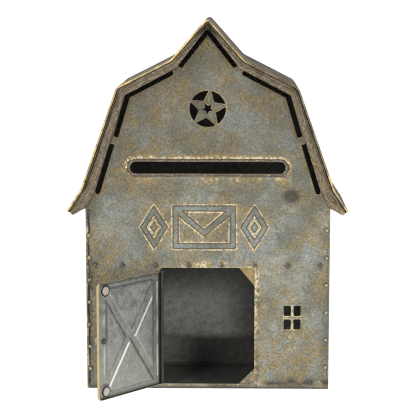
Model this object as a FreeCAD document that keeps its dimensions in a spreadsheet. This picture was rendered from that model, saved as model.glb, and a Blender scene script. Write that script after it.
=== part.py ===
"""Barn-shaped wall mailbox in sheet steel, as a parametric FreeCAD document.

X runs to the right as the owner faces the box, Y runs into the wall and Z is up.
The back of the box lies on Y = 0, and Z = 0 is the line between the two keyholes.
Heights in the sheet are counted from the base of the box.
"""
import FreeCAD, Part
import math
import os

import Sketcher

SIZES = (
    # alias, millimetres unless it says degrees, what it is
    ("sheet", 0.8, "thickness of the steel sheet"),
    ("fit_gap", 0.1, "gap between a formed edge and its neighbour"),
    ("body_width", 243.4, "outside width over the side walls"),
    ("body_depth", 105, "wall to the face of the front panel"),
    ("wall_top", 210.4, "height of the side walls"),
    ("hang_height", 250, "height of the line between the keyholes"),
    ("roof_depth", 122.6, "wall to the front edge of the roof sheet"),
    ("apex_height", 372.8, "height of the ridge"),
    ("upper_kink_x", 35.8, "upper bend of the gambrel roof, from the middle"),
    ("upper_kink_height", 332.2, "height of the upper bend"),
    ("lower_kink_x", 88.9, "lower bend of the roof, from the middle"),
    ("lower_kink_height", 305.2, "height of the lower bend"),
    ("flare_x", 124.6, "where the roof starts to flare, from the middle"),
    ("flare_height", 205, "height of the start of the flare"),
    ("eave_x", 138.4, "eave tip, from the middle"),
    ("eave_height", 184.2, "height of the eave tip"),
    ("ridge_radius", 4, "bend radius outside the ridge"),
    ("upper_kink_radius", 12, "bend radius outside the upper bend"),
    ("lower_kink_radius", 10, "bend radius outside the lower bend"),
    ("flare_radius", 20, "bend radius outside the flare"),
    ("trim_width", 3.2, "edge binding, across the sheet edges"),
    ("trim_depth", 2.4, "edge binding, in front of the sheet edges"),
    ("crease_apex_height", 362.8, "top of the flat front, under the ridge"),
    ("crease_upper_x", 31.2, "upper corner of the flat front"),
    ("crease_upper_height", 323.1, "height of the upper corner"),
    ("crease_lower_x", 82.2, "lower corner of the flat front"),
    ("crease_lower_height", 296, "height of the lower corner"),
    ("crease_foot_x", 111.5, "foot of the long vents"),
    ("crease_foot_height", 203, "height of the foot"),
    ("shoulder_height", 183.5, "where the flat front reaches its full width"),
    ("crease_radius", 4, "rounding of the flat front's corners"),
    ("vent_width", 4.5, "width of the vent slots"),
    ("vent_overcut", 0.6, "vents past the crease"),
    ("ridge_vent_x", 26, "lower ends of the ridge vent"),
    ("ridge_vent_height", 326, "height of those ends"),
    ("ridge_vent_top", 359, "top of the ridge vent's middle line"),
    ("upper_vent_x", 36.2, "upper end of the bent vents"),
    ("upper_vent_height", 317.9, "height of the upper end"),
    ("vent_bend_x", 78.7, "bend of the bent vents"),
    ("vent_bend_height", 295.7, "height of the bend"),
    ("vent_tab_x", 90.8, "lower end of the bent vents"),
    ("vent_tab_height", 255.2, "height of that end"),
    ("lower_vent_x", 94.5, "upper end of the straight vents"),
    ("lower_vent_height", 248.2, "height of the upper end"),
    ("lower_vent_foot_x", 109.1, "lower end of the straight vents"),
    ("lower_vent_foot", 200.6, "height of the lower end"),
    ("letter_slot_height", 224.8, "middle of the letter slot"),
    ("letter_slot_length", 154, "clear length of the letter slot"),
    ("letter_slot_gap", 11.5, "clear height of the letter slot"),
    ("bezel_width", 2.8, "visible width of the bezel"),
    ("bezel_proud", 1.2, "bezel in front of the panel"),
    ("bezel_sleeve", 2.2, "bezel sleeve behind the panel's face"),
    ("star_height", 283.2, "middle of the star"),
    ("star_radius", 18, "radius of the pierced ring round the star"),
    ("star_notch", 8.8, "radius of the notches between the star's arms"),
    ("star_hole", 6, "tip radius of the small star hole"),
    ("star_hole_notch", 2.9, "notch radius of the small star hole"),
    ("window_x", 84.7, "middle of the window"),
    ("window_height", 73.5, "height of the window's middle"),
    ("pane_width", 7.3, "width of a pane"),
    ("pane_height", 10.3, "height of a pane"),
    ("muntin_width", 2.4, "upright bar between panes"),
    ("muntin_height", 3.4, "level bar between panes"),
    ("door_left", 47.9, "left edge of the door opening, from the middle"),
    ("door_right", 47, "right edge of the door opening, from the middle"),
    ("door_sill", 5, "bottom of the door opening"),
    ("door_head", 124, "top of the door opening"),
    ("opening_radius", 2, "corner radius of the door opening"),
    ("motif_x", -3.5, "middle of the embossed motif"),
    ("motif_height", 165, "height of the motif's middle"),
    ("motif_relief", 0.5, "how far the motif stands out"),
    ("envelope_width", 62, "width of the embossed envelope"),
    ("envelope_height", 43, "height of the embossed envelope"),
    ("envelope_line", 5, "line width of the envelope"),
    ("lozenge_offset", 50, "lozenges beside the envelope, from its middle"),
    ("lozenge_width", 27, "width of a lozenge"),
    ("lozenge_height", 43, "height of a lozenge"),
    ("flange_width", 13.7, "folded flanges of the side walls"),
    ("front_lip", 3.8, "upstand at the floor's front"),
    ("back_flange", 6.5, "back panel's flange on the floor"),
    ("strap_height", 10, "height of the header strap"),
    ("rivet_shank", 1.15, "radius of a rivet's shank"),
    ("rivet_hole", 1.25, "radius of a rivet's hole"),
    ("rivet_head", 1.8, "radius of a rivet's head"),
    ("rivet_dome", 1.1, "height of a rivet's head"),
    ("rivet_tail", 0.6, "height of a rivet's tail"),
    ("side_rivet_x", 118.5, "columns of side rivets, from the middle"),
    ("left_rivet_first", 20.3, "lowest rivet of the left column"),
    ("left_rivet_pitch", 22.7, "pitch of the left column"),
    ("right_rivet_first", 22.8, "lowest rivet of the right column"),
    ("right_rivet_pitch", 27.9, "pitch of the right column"),
    ("header_rivet_height", 126.6, "row of rivets over the door opening"),
    ("header_rivet_first", -85, "leftmost rivet of the strap"),
    ("header_rivet_pitch", 33, "pitch of the strap's rivets"),
    ("header_end_x", 112.4, "end rivets of the row"),
    ("gusset_long", 18.6, "top gusset's upright leg"),
    ("gusset_short", 15.5, "gussets' other legs"),
    ("gusset_margin", 9, "gusset behind the panel"),
    ("keyhole_spacing", 150, "distance between the keyholes"),
    ("keyhole_radius", 5, "round part of a keyhole"),
    ("keyhole_slot", 5, "width of a keyhole's neck"),
    ("keyhole_rise", 12, "keyhole neck above the round part's middle"),
    ("screw_hole_radius", 2.75, "lower securing holes"),
    ("screw_hole_spacing", 60, "distance between the securing holes"),
    ("screw_hole_height", 114, "height of the securing holes"),
    ("hinge_x", -45.7, "hinge axis"),
    ("hinge_proud", 1.45, "hinge axis in front of the panel's face"),
    ("pin_radius", 0.9, "hinge pin"),
    ("bore_radius", 0.95, "bore of the knuckles"),
    ("knuckle_radius", 1.6, "outside of the knuckles"),
    ("knuckle_low", 28, "foot of the middle knuckle"),
    ("knuckle_high", 103, "top of the middle knuckle"),
    ("knuckle_gap", 0.4, "gap between knuckles"),
    ("leaf_width", 12, "frame leaf behind the panel"),
    ("strap_width", 9, "door's hinge straps"),
    ("door_foot", 5.8, "bottom of the door"),
    ("door_top", 121.2, "top of the door"),
    ("door_start", 1.9, "hinge axis to the door's hinge edge"),
    ("door_reach", 91.7, "hinge axis to the door's free edge"),
    ("door_thickness", 3, "door over its turned edge"),
    ("door_proud", 2.4, "closed door in front of the panel's face"),
    ("door_corner", 4, "rounding of the door's free corners"),
    ("rail_depth", 1.4, "depth of the pressed rails"),
    ("stile_width", 12.2, "pressed stile along each upright edge"),
    ("rail_width", 7, "pressed rail along the top and bottom"),
    ("brace_width", 7.5, "pressed X brace"),
    ("brace_drop", 4, "tips of the level fields from the middle of the X"),
    ("magnet_inset", 10, "magnets from the free edge"),
    ("magnet_drop", 8, "magnets from the top and bottom edges"),
    ("magnet_radius", 4.2, "magnet"),
    ("cup_radius", 5.5, "steel cup round a magnet"),
    ("cup_height", 0.6, "height of a cup's rim"),
    ("magnet_pad", 6.2, "pressed pad under a cup"),
    ("knob_inset", 9, "knob from the free edge"),
    ("knob_radius", 3, "knob"),
    ("knob_length", 10, "knob in front of the door"),
    ("knob_neck", 1.6, "neck of the knob"),
    ("knob_shank", 1.1, "shank of the knob"),
    ("washer_radius", 2.9, "washer under the knob's tail"),
    ("washer_height", 0.5, "thickness of the washer"),
    ("open_angle", 130, "degrees the door stands open"),
)
STAR_POINTS = 5
STAR_LEAN = 7.5  # degrees clockwise
STAR_NECK = 4.0  # degrees of ring on each side of an arm's tip
BEND_DIVISIONS = 4  # an even number
ELLIPSE_HANDLE = 0.5523  # handle length of a cubic curve that follows a quarter ellipse
LEFT_RIVETS = 7
RIGHT_RIVETS = 6
STRAP_RIVETS = 6
FAR = 1000  # beyond everything in the document
FOLD_RUN = 1.8  # where the envelope's folds meet its frame, in line widths
FOLD_DIP = 1.3  # depth of the fold's line at its tip, in line widths
LOZENGE_OUTLINES = (1, 0.6, 0.25)  # outside, inside and middle, as shares of the whole
# rounding of edges, as shares of the size that limits each
BEZEL_ROLL = 0.75
BACK_RIDGE = 1.2
RIVET_CROWN = 0.9
KNOB_CROWN = 0.7
RIVET_TAIL = 0.95  # radius of a rivet's tail, as a share of the head's
KNOB_HEAD = 1.5  # length of the knob's head, as a share of its radius

doc = FreeCAD.newDocument("WallMailbox")
sheet = doc.addObject("Spreadsheet::Sheet", "Sizes")
for row, (alias, amount, meaning) in enumerate(SIZES, start=1):
    sheet.set(f"A{row}", meaning)
    sheet.set(f"B{row}", str(amount))
    sheet.setAlias(f"B{row}", alias)
doc.recompute()


class Size:
    """A number together with the spreadsheet expression that gives it."""

    def __init__(self, value, text):
        self.value = value
        self.text = text

    def __add__(self, other):
        other = as_size(other)
        return Size(self.value + other.value, f"({self.text} + {other.text})")

    def __sub__(self, other):
        other = as_size(other)
        return Size(self.value - other.value, f"({self.text} - {other.text})")

    def __mul__(self, factor):
        return Size(self.value * factor, f"({self.text} * ({factor:.9f}))")

    def __truediv__(self, divisor):
        return self * (1 / divisor)

    def __neg__(self):
        return self * -1


def as_size(thing):
    """A plain number counts as a size that depends on no cell."""
    if isinstance(thing, Size):
        return thing
    return Size(float(thing), f"({float(thing):.9f})")


def cell(alias):
    """The size that a cell of the sheet holds."""
    return Size(float(sheet.get(alias)), f"Sizes.{alias}")


def up(height):
    """Z of a height counted from the base."""
    return as_size(height) - cell("hang_height")


def bind(thing, path, size):
    """Drive one property of an object by a size."""
    thing.setExpression(path, as_size(size).text)


# ---------------------------------------------------------------- sketches and features


def new_body(label):
    """An empty body whose label names its file."""
    body = doc.addObject("PartDesign::Body", label)
    body.Label = label
    return body


def add_sketch(body, name, role="XZ_Plane", offset=0):
    """A sketch on one of the body's own planes, moved along the plane's normal.

    The XZ plane's normal is -Y, so there the offset is the distance in front of the wall.
    """
    sketch = body.newObject("Sketcher::SketchObject", name)
    planes = [plane for plane in body.Origin.OriginFeatures if plane.Role == role]
    sketch.AttachmentSupport = [(planes[0], "")]
    sketch.MapMode = "FlatFace"
    bind(sketch, "AttachmentOffset.Base.z", offset)
    return sketch


def pin_point(sketch, geometry, vertex, point):
    """Fix a point of a sketch at a pair of sizes."""
    for kind, size in zip(("DistanceX", "DistanceY"), point):
        size = as_size(size)
        constraint = Sketcher.Constraint(kind, -1, 1, geometry, vertex, size.value)
        index = sketch.addConstraint(constraint)
        sketch.setExpression(f"Constraints[{index}]", size.text)


def as_vector(point):
    """A pair of sizes as a vector in a sketch."""
    return FreeCAD.Vector(as_size(point[0]).value, as_size(point[1]).value, 0)


def add_polygon(sketch, points):
    """A closed outline of straight sides."""
    sides = [
        sketch.addGeometry(Part.LineSegment(as_vector(start), as_vector(end)), False)
        for start, end in zip(points, points[1:] + points[:1])
    ]
    for side, following in zip(sides, sides[1:] + sides[:1]):
        sketch.addConstraint(Sketcher.Constraint("Coincident", side, 2, following, 1))
    for side, point in zip(sides, points):
        pin_point(sketch, side, 1, point)


def add_circle(sketch, centre, radius):
    """A circle with a driven centre and radius."""
    normal = FreeCAD.Vector(0, 0, 1)
    circle = Part.Circle(as_vector(centre), normal, radius.value)
    geometry = sketch.addGeometry(circle, False)
    pin_point(sketch, geometry, 3, centre)
    index = sketch.addConstraint(Sketcher.Constraint("Radius", geometry, radius.value))
    sketch.setExpression(f"Constraints[{index}]", radius.text)


def add_arc(sketch, centre, radius, start_angle, end_angle):
    """An arc with a driven centre and radius, anticlockwise between two angles in degrees."""
    normal = FreeCAD.Vector(0, 0, 1)
    circle = Part.Circle(as_vector(centre), normal, radius.value)
    arc = Part.ArcOfCircle(circle, math.radians(start_angle), math.radians(end_angle))
    geometry = sketch.addGeometry(arc, False)
    pin_point(sketch, geometry, 3, centre)
    index = sketch.addConstraint(Sketcher.Constraint("Radius", geometry, radius.value))
    sketch.setExpression(f"Constraints[{index}]", radius.text)
    return geometry


def add_stadium(sketch, centre, length, height):
    """A level slot with round ends."""
    radius = height / 2
    reach = length / 2 - radius
    right = add_arc(sketch, (centre[0] + reach, centre[1]), radius, -90, 90)
    left = add_arc(sketch, (centre[0] - reach, centre[1]), radius, 90, 270)
    for sign, (arc, vertex), (other, other_vertex) in (
        (1, (right, 2), (left, 1)),
        (-1, (left, 2), (right, 1)),
    ):
        level = centre[1] + radius * sign
        start = as_vector((centre[0] + reach * sign, level))
        end = as_vector((centre[0] - reach * sign, level))
        side = sketch.addGeometry(Part.LineSegment(start, end), False)
        sketch.addConstraint(Sketcher.Constraint("Tangent", arc, vertex, side, 1))
        sketch.addConstraint(Sketcher.Constraint("Tangent", other, other_vertex, side, 2))


def add_round_rectangle(sketch, left, right, bottom, top, radius):
    """An upright rectangle with round corners, each side tangent to its arcs."""
    middles = [
        (right - radius, bottom + radius),
        (right - radius, top - radius),
        (left + radius, top - radius),
        (left + radius, bottom + radius),
    ]
    arcs = [
        add_arc(sketch, middle, radius, 90 * turn - 90, 90 * turn)
        for turn, middle in enumerate(middles)
    ]
    for turn, (arc, following) in enumerate(zip(arcs, arcs[1:] + arcs[:1])):
        start = as_vector(polar(middles[turn], radius, 90 * turn))
        end = as_vector(polar(middles[(turn + 1) % 4], radius, 90 * turn))
        side = sketch.addGeometry(Part.LineSegment(start, end), False)
        sketch.addConstraint(Sketcher.Constraint("Tangent", arc, 2, side, 1))
        sketch.addConstraint(Sketcher.Constraint("Tangent", side, 2, following, 1))


def pad(body, sketch, length, backward=True):
    """Thicken a sketch along its normal, or backward against it."""
    feature = body.newObject("PartDesign::Pad", f"{sketch.Label}_pad")
    feature.Profile = sketch
    feature.Reversed = backward
    bind(feature, "Length", length)
    doc.recompute()
    return feature


def pocket(body, sketch, length, forward=False):
    """Cut a sketch against its normal, or forward along it, and see that it did cut."""
    before = body.Shape.Volume
    feature = body.newObject("PartDesign::Pocket", f"{sketch.Label}_pocket")
    feature.Profile = sketch
    feature.Reversed = forward
    bind(feature, "Length", length)
    doc.recompute()
    if body.Shape.Volume >= before:
        raise RuntimeError(f"{feature.Name} cuts nothing")
    return feature


def fillet(body, name, radius, wanted):
    """Round the edges of the body's tip that a test picks."""
    base = body.Tip
    edges = [
        f"Edge{number}"
        for number, edge in enumerate(base.Shape.Edges, start=1)
        if wanted(edge)
    ]
    feature = body.newObject("PartDesign::Fillet", name)
    feature.Base = (base, edges)
    bind(feature, "Radius", radius)
    doc.recompute()
    return feature


def runs_through(corners):
    """A test for edges along Y that stand on one of the given corners."""
    places = [as_vector(corner) for corner in corners]

    def test(edge):
        box = edge.BoundBox
        if box.XLength + box.ZLength > 0.01 or box.YLength < 0.1:
            return False
        return any(math.hypot(box.XMin - p.x, box.ZMin - p.y) < 0.05 for p in places)

    return test


def faces_front(distance):
    """A test for round edges that lie in a plane in front of the wall."""

    def test(edge):
        box = edge.BoundBox
        flat = box.YLength < 0.01 and abs(box.YMin + as_size(distance).value) < 0.01
        return flat and isinstance(edge.Curve, (Part.Circle, Part.Line))

    return test


def rectangle(left, right, bottom, top):
    """The corners of an upright rectangle."""
    return [(left, bottom), (right, bottom), (right, top), (left, top)]


def mirrored(points):
    """The same outline on the other side of the middle, still anticlockwise."""
    return [(-as_size(across), height) for across, height in reversed(points)]


def polar(centre, radius, angle):
    """A point at a distance and an angle in degrees from a centre."""
    turn = math.radians(angle)
    return (centre[0] + radius * math.cos(turn), centre[1] + radius * math.sin(turn))


# ---------------------------------------------------------------- outlines


def roof_corners():
    """The corners of the roof's outside, from the right eave over the ridge to the left."""
    right = [
        (cell("eave_x"), up(cell("eave_height"))),
        (cell("flare_x"), up(cell("flare_height"))),
        (cell("lower_kink_x"), up(cell("lower_kink_height"))),
        (cell("upper_kink_x"), up(cell("upper_kink_height"))),
    ]
    ridge = [(as_size(0), up(cell("apex_height")))]
    return right + ridge + mirrored(right)


def roof_radii():
    """Bend radii at those corners, negative where the roof bends outward."""
    side = [0.0]
    side.append(-cell("flare_radius").value)
    side.append(cell("lower_kink_radius").value)
    side.append(-cell("upper_kink_radius").value)
    return side + [cell("ridge_radius").value] + side[::-1]


def inward_shift(corners, index):
    """How a corner moves when the whole line moves inward by one millimetre."""
    here = as_vector(corners[index])
    normals = []
    for first, second in ((index - 1, index), (index, index + 1)):
        if 0 <= first and second < len(corners):
            along = as_vector(corners[second]) - as_vector(corners[first])
            along.normalize()
            normals.append(FreeCAD.Vector(-along.y, along.x, 0))
    if len(normals) == 1:
        return normals[0]
    middle = normals[0] + normals[1]
    return middle * (2 / middle.dot(middle))


def inset_corners(corners, inset):
    """The corners of a line moved inward."""
    inset = as_size(inset)
    moved = []
    for index, (across, height) in enumerate(corners):
        shift = inward_shift(corners, index)
        moved.append((across + inset * shift.x, height + inset * shift.y))
    return moved


def bend_points(corners, radii, divisions):
    """Points along a line whose corners are bent to radii."""
    points = [[as_vector(corners[0])]]
    for index in range(1, len(corners) - 1):
        corner = as_vector(corners[index])
        back = (as_vector(corners[index - 1]) - corner).normalize()
        ahead = (as_vector(corners[index + 1]) - corner).normalize()
        half = back.getAngle(ahead) / 2
        inward = (back + ahead).normalize()
        centre = corner + inward * (radii[index] / math.sin(half))
        sweep = math.pi / 2 - half
        side = math.copysign(1, back.y * ahead.x - back.x * ahead.y)
        bend = []
        for step in range(divisions + 1):
            turn = side * sweep * (2 * step / divisions - 1)
            spoke = FreeCAD.Rotation(FreeCAD.Vector(0, 0, 1), math.degrees(turn))
            bend.append(centre - spoke.multVec(inward) * radii[index])
        points.append(bend)
    points.append([as_vector(corners[-1])])
    return points


def in_space(point, distance):
    """A point of an outline, at a distance in front of the wall."""
    return FreeCAD.Vector(point.x, -distance, point.y)


def bent_edges(inset, distance):
    """Lines and arcs along the roof line, moved inward and in front of the wall."""
    corners = inset_corners(roof_corners(), inset)
    depth = as_size(inset).value
    radii = [abs(radius - depth) if radius else 0.0 for radius in roof_radii()]
    bends = bend_points(corners, radii, 2)
    edges = []
    for bend, following in zip(bends, bends[1:]):
        if len(bend) == 3:
            arc = Part.Arc(*(in_space(point, distance) for point in bend))
            edges.append(arc.toShape())
        ends = (in_space(bend[-1], distance), in_space(following[0], distance))
        edges.append(Part.makeLine(*ends))
    return edges


def roof_band(outer, inner, distance, depth):
    """A solid between two inward offsets of the roof line, running back from a distance."""
    outside = Part.Wire(bent_edges(outer, distance))
    inside = Part.Wire(bent_edges(inner, distance))
    ends = [
        Part.makeLine(outside.OrderedVertexes[0].Point, inside.OrderedVertexes[0].Point),
        Part.makeLine(outside.OrderedVertexes[-1].Point, inside.OrderedVertexes[-1].Point),
    ]
    outline = Part.Wire(Part.__sortEdges__(outside.Edges + inside.Edges + ends))
    return Part.Face(outline).extrude(FreeCAD.Vector(0, depth, 0))


def crease_corners():
    """The corners of the flat front's roof side, from the right shoulder to the ridge."""
    return [
        (cell("body_width") / 2, up(cell("shoulder_height"))),
        (cell("crease_foot_x"), up(cell("crease_foot_height"))),
        (cell("crease_lower_x"), up(cell("crease_lower_height"))),
        (cell("crease_upper_x"), up(cell("crease_upper_height"))),
        (as_size(0), up(cell("crease_apex_height"))),
    ]


def add_feature(label, shape):
    """A piece whose shape comes from Part's own functions."""
    feature = doc.addObject("Part::Feature", label)
    feature.Label = label
    feature.Shape = shape
    return feature


# ---------------------------------------------------------------- roof, trims and coves


def make_roof():
    """One bent sheet from eave to eave."""
    depth = cell("roof_depth").value
    add_feature("roof_sheet", roof_band(0, cell("sheet"), depth, depth))


def half_space(side):
    """A block that holds everything on one side of the middle."""
    corner = FreeCAD.Vector(0 if side > 0 else -FAR, -FAR, -FAR)
    return Part.makeBox(FAR, 2 * FAR, 2 * FAR, corner)


def make_edge_trims():
    """A binding over the front edges of the roof and the coves, mitred at the ridge."""
    depth = cell("trim_depth").value
    distance = cell("roof_depth").value + depth
    band = roof_band(0, cell("trim_width"), distance, depth)
    for side, name in ((-1, "left"), (1, "right")):
        add_feature(f"edge_trim_{name}", band.common(half_space(side)).Solids[0])


def quarter_curve(crease, crease_distance, rim, rim_distance):
    """A quarter of an ellipse that leaves the flat front and turns forward at the rim."""
    turn = (rim_distance - crease_distance) * ELLIPSE_HANDLE
    curve = Part.BezierCurve()
    curve.setPoles(
        [
            in_space(crease, crease_distance),
            in_space(crease + (rim - crease) * ELLIPSE_HANDLE, crease_distance),
            in_space(rim, rim_distance - turn),
            in_space(rim, rim_distance),
        ]
    )
    return curve.toShape()


def cove_section(crease, rim, rim_outside):
    """A thin concave section from the flat front's crease out and forward to the rim."""
    face = cell("body_depth").value
    front = cell("roof_depth").value
    back = face - cell("sheet").value
    along = (rim - crease).normalize()
    across = rim_outside - rim
    rim_outside = rim + along * (across.dot(across) / across.dot(along))
    edges = [
        quarter_curve(crease, face, rim, front),
        Part.makeLine(in_space(rim, front), in_space(rim_outside, front)),
        quarter_curve(crease, back, rim_outside, front),
        Part.makeLine(in_space(crease, back), in_space(crease, face)),
    ]
    return Part.Wire(edges)


def half_line(corners, radii):
    """Points from the right end of a symmetric line to the top of its middle bend."""
    bends = bend_points(corners, radii, BEND_DIVISIONS)
    middle = len(corners) // 2
    return sum(bends[:middle], []) + bends[middle][: BEND_DIVISIONS // 2 + 1]


def make_coves():
    """The flared bands between the vents and the rim, one for each side."""
    outside = cell("sheet") + cell("fit_gap")
    rims = []
    for inset in (outside + cell("sheet"), outside):
        corners = inset_corners(roof_corners(), inset)
        rims.append(half_line(corners, [abs(r - inset.value) for r in roof_radii()]))
    corners = crease_corners()
    corners = corners + mirrored(corners[:-1])
    crease = half_line(corners, [cell("crease_radius").value] * len(corners))
    sections = [cove_section(*points) for points in zip(crease, *rims)]
    right = Part.makeLoft(sections, True, True)
    add_feature("gable_cove_right", right)
    middle_plane = (FreeCAD.Vector(0, 0, 0), FreeCAD.Vector(1, 0, 0))
    add_feature("gable_cove_left", right.mirror(*middle_plane))


# ---------------------------------------------------------------- front panel


def vent_outline(points):
    """The outline of a slot with square ends along a bent middle line.

    Its outer side runs a little past the crease, where the cove closes it.
    """
    half = cell("vent_width") / 2
    inner = inset_corners(points, half)
    outer = inset_corners(points, -(half + cell("vent_overcut")))
    return inner + outer[::-1]


def vent_lines():
    """Middle lines of the vents on the right, and the points where one ends round."""
    straight = [
        (cell("lower_vent_foot_x"), up(cell("lower_vent_foot"))),
        (cell("lower_vent_x"), up(cell("lower_vent_height"))),
    ]
    bent = [
        (cell("vent_tab_x"), up(cell("vent_tab_height"))),
        (cell("vent_bend_x"), up(cell("vent_bend_height"))),
        (cell("upper_vent_x"), up(cell("upper_vent_height"))),
    ]
    foot = (cell("ridge_vent_x"), up(cell("ridge_vent_height")))
    ridge = [foot, (as_size(0), up(cell("ridge_vent_top"))), *mirrored([foot])]
    return straight, bent, ridge


def rivet_places():
    """The three groups of rivets as lists of points."""
    left = [
        (-cell("side_rivet_x"), up(cell("left_rivet_first") + cell("left_rivet_pitch") * i))
        for i in range(LEFT_RIVETS)
    ]
    right = [
        (cell("side_rivet_x"), up(cell("right_rivet_first") + cell("right_rivet_pitch") * i))
        for i in range(RIGHT_RIVETS)
    ]
    height = up(cell("header_rivet_height"))
    strap = [
        (cell("header_rivet_first") + cell("header_rivet_pitch") * i, height)
        for i in range(STRAP_RIVETS)
    ]
    ends = [(-cell("header_end_x"), height), (cell("header_end_x"), height)]
    return left, right, strap, ends


def pierce_star(body, through):
    """Cut the ring round a five-pointed star, and a small star hole in its middle."""
    centre = (as_size(0), up(cell("star_height")))
    step = 360 / STAR_POINTS
    first = 90 - STAR_LEAN
    ring = add_sketch(body, "star_ring", offset=cell("body_depth"))
    for tip in range(STAR_POINTS):
        start = first + step * tip + STAR_NECK
        end = first + step * (tip + 1) - STAR_NECK
        arc = add_arc(ring, centre, cell("star_radius"), start, end)
        notch = polar(centre, cell("star_notch"), (start + end) / 2)
        tips = [polar(centre, cell("star_radius"), angle) for angle in (end, start)]
        sides = [
            ring.addGeometry(Part.LineSegment(as_vector(tips[0]), as_vector(notch)), False),
            ring.addGeometry(Part.LineSegment(as_vector(notch), as_vector(tips[1])), False),
        ]
        ring.addConstraint(Sketcher.Constraint("Coincident", arc, 2, sides[0], 1))
        ring.addConstraint(Sketcher.Constraint("Coincident", sides[0], 2, sides[1], 1))
        ring.addConstraint(Sketcher.Constraint("Coincident", sides[1], 2, arc, 1))
        pin_point(ring, sides[0], 2, notch)
    pocket(body, ring, through)
    hole = add_sketch(body, "star_hole", offset=cell("body_depth"))
    points = []
    for tip in range(STAR_POINTS):
        tip_angle = first + step * (tip + 0.5)
        points.append(polar(centre, cell("star_hole"), tip_angle))
        points.append(polar(centre, cell("star_hole_notch"), tip_angle + step / 2))
    add_polygon(hole, points)
    pocket(body, hole, through)


def pierce_window(body, through):
    """Cut four panes, leaving a cross of bars."""
    panes = add_sketch(body, "window_panes", offset=cell("body_depth"))
    pitch_x = cell("pane_width") + cell("muntin_width")
    pitch_z = cell("pane_height") + cell("muntin_height")
    for across in (-1, 1):
        for rise in (-1, 1):
            middle_x = cell("window_x") + pitch_x * (across / 2)
            middle_z = up(cell("window_height")) + pitch_z * (rise / 2)
            half_width = cell("pane_width") / 2
            half_height = cell("pane_height") / 2
            corners = rectangle(
                middle_x - half_width,
                middle_x + half_width,
                middle_z - half_height,
                middle_z + half_height,
            )
            add_polygon(panes, corners)
    pocket(body, panes, through)


def emboss_motif(body):
    """A raised envelope between two lozenges."""
    motif = add_sketch(body, "motif", offset=cell("body_depth"))
    centre_x = cell("motif_x")
    centre_z = up(cell("motif_height"))
    line = cell("envelope_line")
    left = centre_x - cell("envelope_width") / 2
    right = centre_x + cell("envelope_width") / 2
    bottom = centre_z - cell("envelope_height") / 2
    top = centre_z + cell("envelope_height") / 2
    add_polygon(motif, rectangle(left, right, bottom, top))
    run = line * FOLD_RUN
    flap_tip = centre_z - line / 2
    flap = [(left + run, top - line), (centre_x, flap_tip), (right - run, top - line)]
    add_polygon(motif, flap)
    pocket_area = [
        (left + line, top - run),
        (left + line, bottom + line),
        (right - line, bottom + line),
        (right - line, top - run),
        (centre_x, flap_tip - line * FOLD_DIP),
    ]
    add_polygon(motif, pocket_area)
    for side in (-1, 1):
        lozenge_x = centre_x + cell("lozenge_offset") * side
        for scale in LOZENGE_OUTLINES:
            half_width = cell("lozenge_width") * (scale / 2)
            half_height = cell("lozenge_height") * (scale / 2)
            corners = [
                (lozenge_x, centre_z - half_height),
                (lozenge_x + half_width, centre_z),
                (lozenge_x, centre_z + half_height),
                (lozenge_x - half_width, centre_z),
            ]
            add_polygon(motif, corners)
    pad(body, motif, cell("motif_relief"), backward=False)


def make_front_panel():
    """The flat gable front with all its openings."""
    body = new_body("front_panel")
    face = cell("body_depth")
    through = cell("sheet") * 2
    half = cell("body_width") / 2
    right_side = [(half, up(0)), *crease_corners()[:-1]]
    outline = add_sketch(body, "front_outline", offset=face)
    ridge = [crease_corners()[-1]]
    add_polygon(outline, right_side + ridge + mirrored(right_side))
    pad(body, outline, cell("sheet"))
    soft = crease_corners()[1:]
    fillet(body, "front_corners", cell("crease_radius"), runs_through(soft + mirrored(soft)))

    straight, bent, ridge_vent = vent_lines()
    vents = add_sketch(body, "vents", offset=face)
    for middle in (straight, bent, mirrored(straight), mirrored(bent), ridge_vent):
        add_polygon(vents, vent_outline(middle))
    pocket(body, vents, through)
    ends = add_sketch(body, "vent_ends", offset=face)
    for end in (straight[0], bent[-1], ridge_vent[0]):
        for point in ([end], mirrored([end])):
            add_circle(ends, point[0], cell("vent_width") / 2)
    pocket(body, ends, through)

    slot = add_sketch(body, "letter_slot", offset=face)
    hole_length = cell("letter_slot_length") + cell("sheet") * 2
    hole_height = cell("letter_slot_gap") + cell("sheet") * 2
    slot_centre = (as_size(0), up(cell("letter_slot_height")))
    add_stadium(slot, slot_centre, hole_length, hole_height)
    pocket(body, slot, through)

    door = add_sketch(body, "door_opening", offset=face)
    corners = rectangle(
        -cell("door_left"), cell("door_right"), up(cell("door_sill")), up(cell("door_head"))
    )
    add_polygon(door, corners)
    pocket(body, door, through)
    fillet(body, "opening_corners", cell("opening_radius"), runs_through(corners))

    pierce_star(body, through)
    pierce_window(body, through)
    holes = add_sketch(body, "rivet_holes", offset=face)
    for group in rivet_places():
        for place in group:
            add_circle(holes, place, cell("rivet_hole"))
    pocket(body, holes, through)
    emboss_motif(body)


def make_letter_slot_bezel():
    """An oval ring with a rounded front and a sleeve through the panel."""
    body = new_body("letter_slot_bezel")
    centre = (as_size(0), up(cell("letter_slot_height")))
    front = cell("body_depth") + cell("bezel_proud")
    length = cell("letter_slot_length")
    height = cell("letter_slot_gap")
    width = cell("bezel_width")
    ring = add_sketch(body, "bezel_ring", offset=front)
    add_stadium(ring, centre, length + width * 2, height + width * 2)
    add_stadium(ring, centre, length, height)
    pad(body, ring, cell("bezel_proud"))
    fillet(body, "bezel_roll", cell("bezel_proud") * BEZEL_ROLL, faces_front(front))
    wall = cell("sheet") - cell("fit_gap") / 2
    sleeve = add_sketch(body, "bezel_sleeve", offset=cell("body_depth"))
    add_stadium(sleeve, centre, length + wall * 2, height + wall * 2)
    add_stadium(sleeve, centre, length, height)
    pad(body, sleeve, cell("bezel_sleeve"))


# ---------------------------------------------------------------- walls, floor and back


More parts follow.
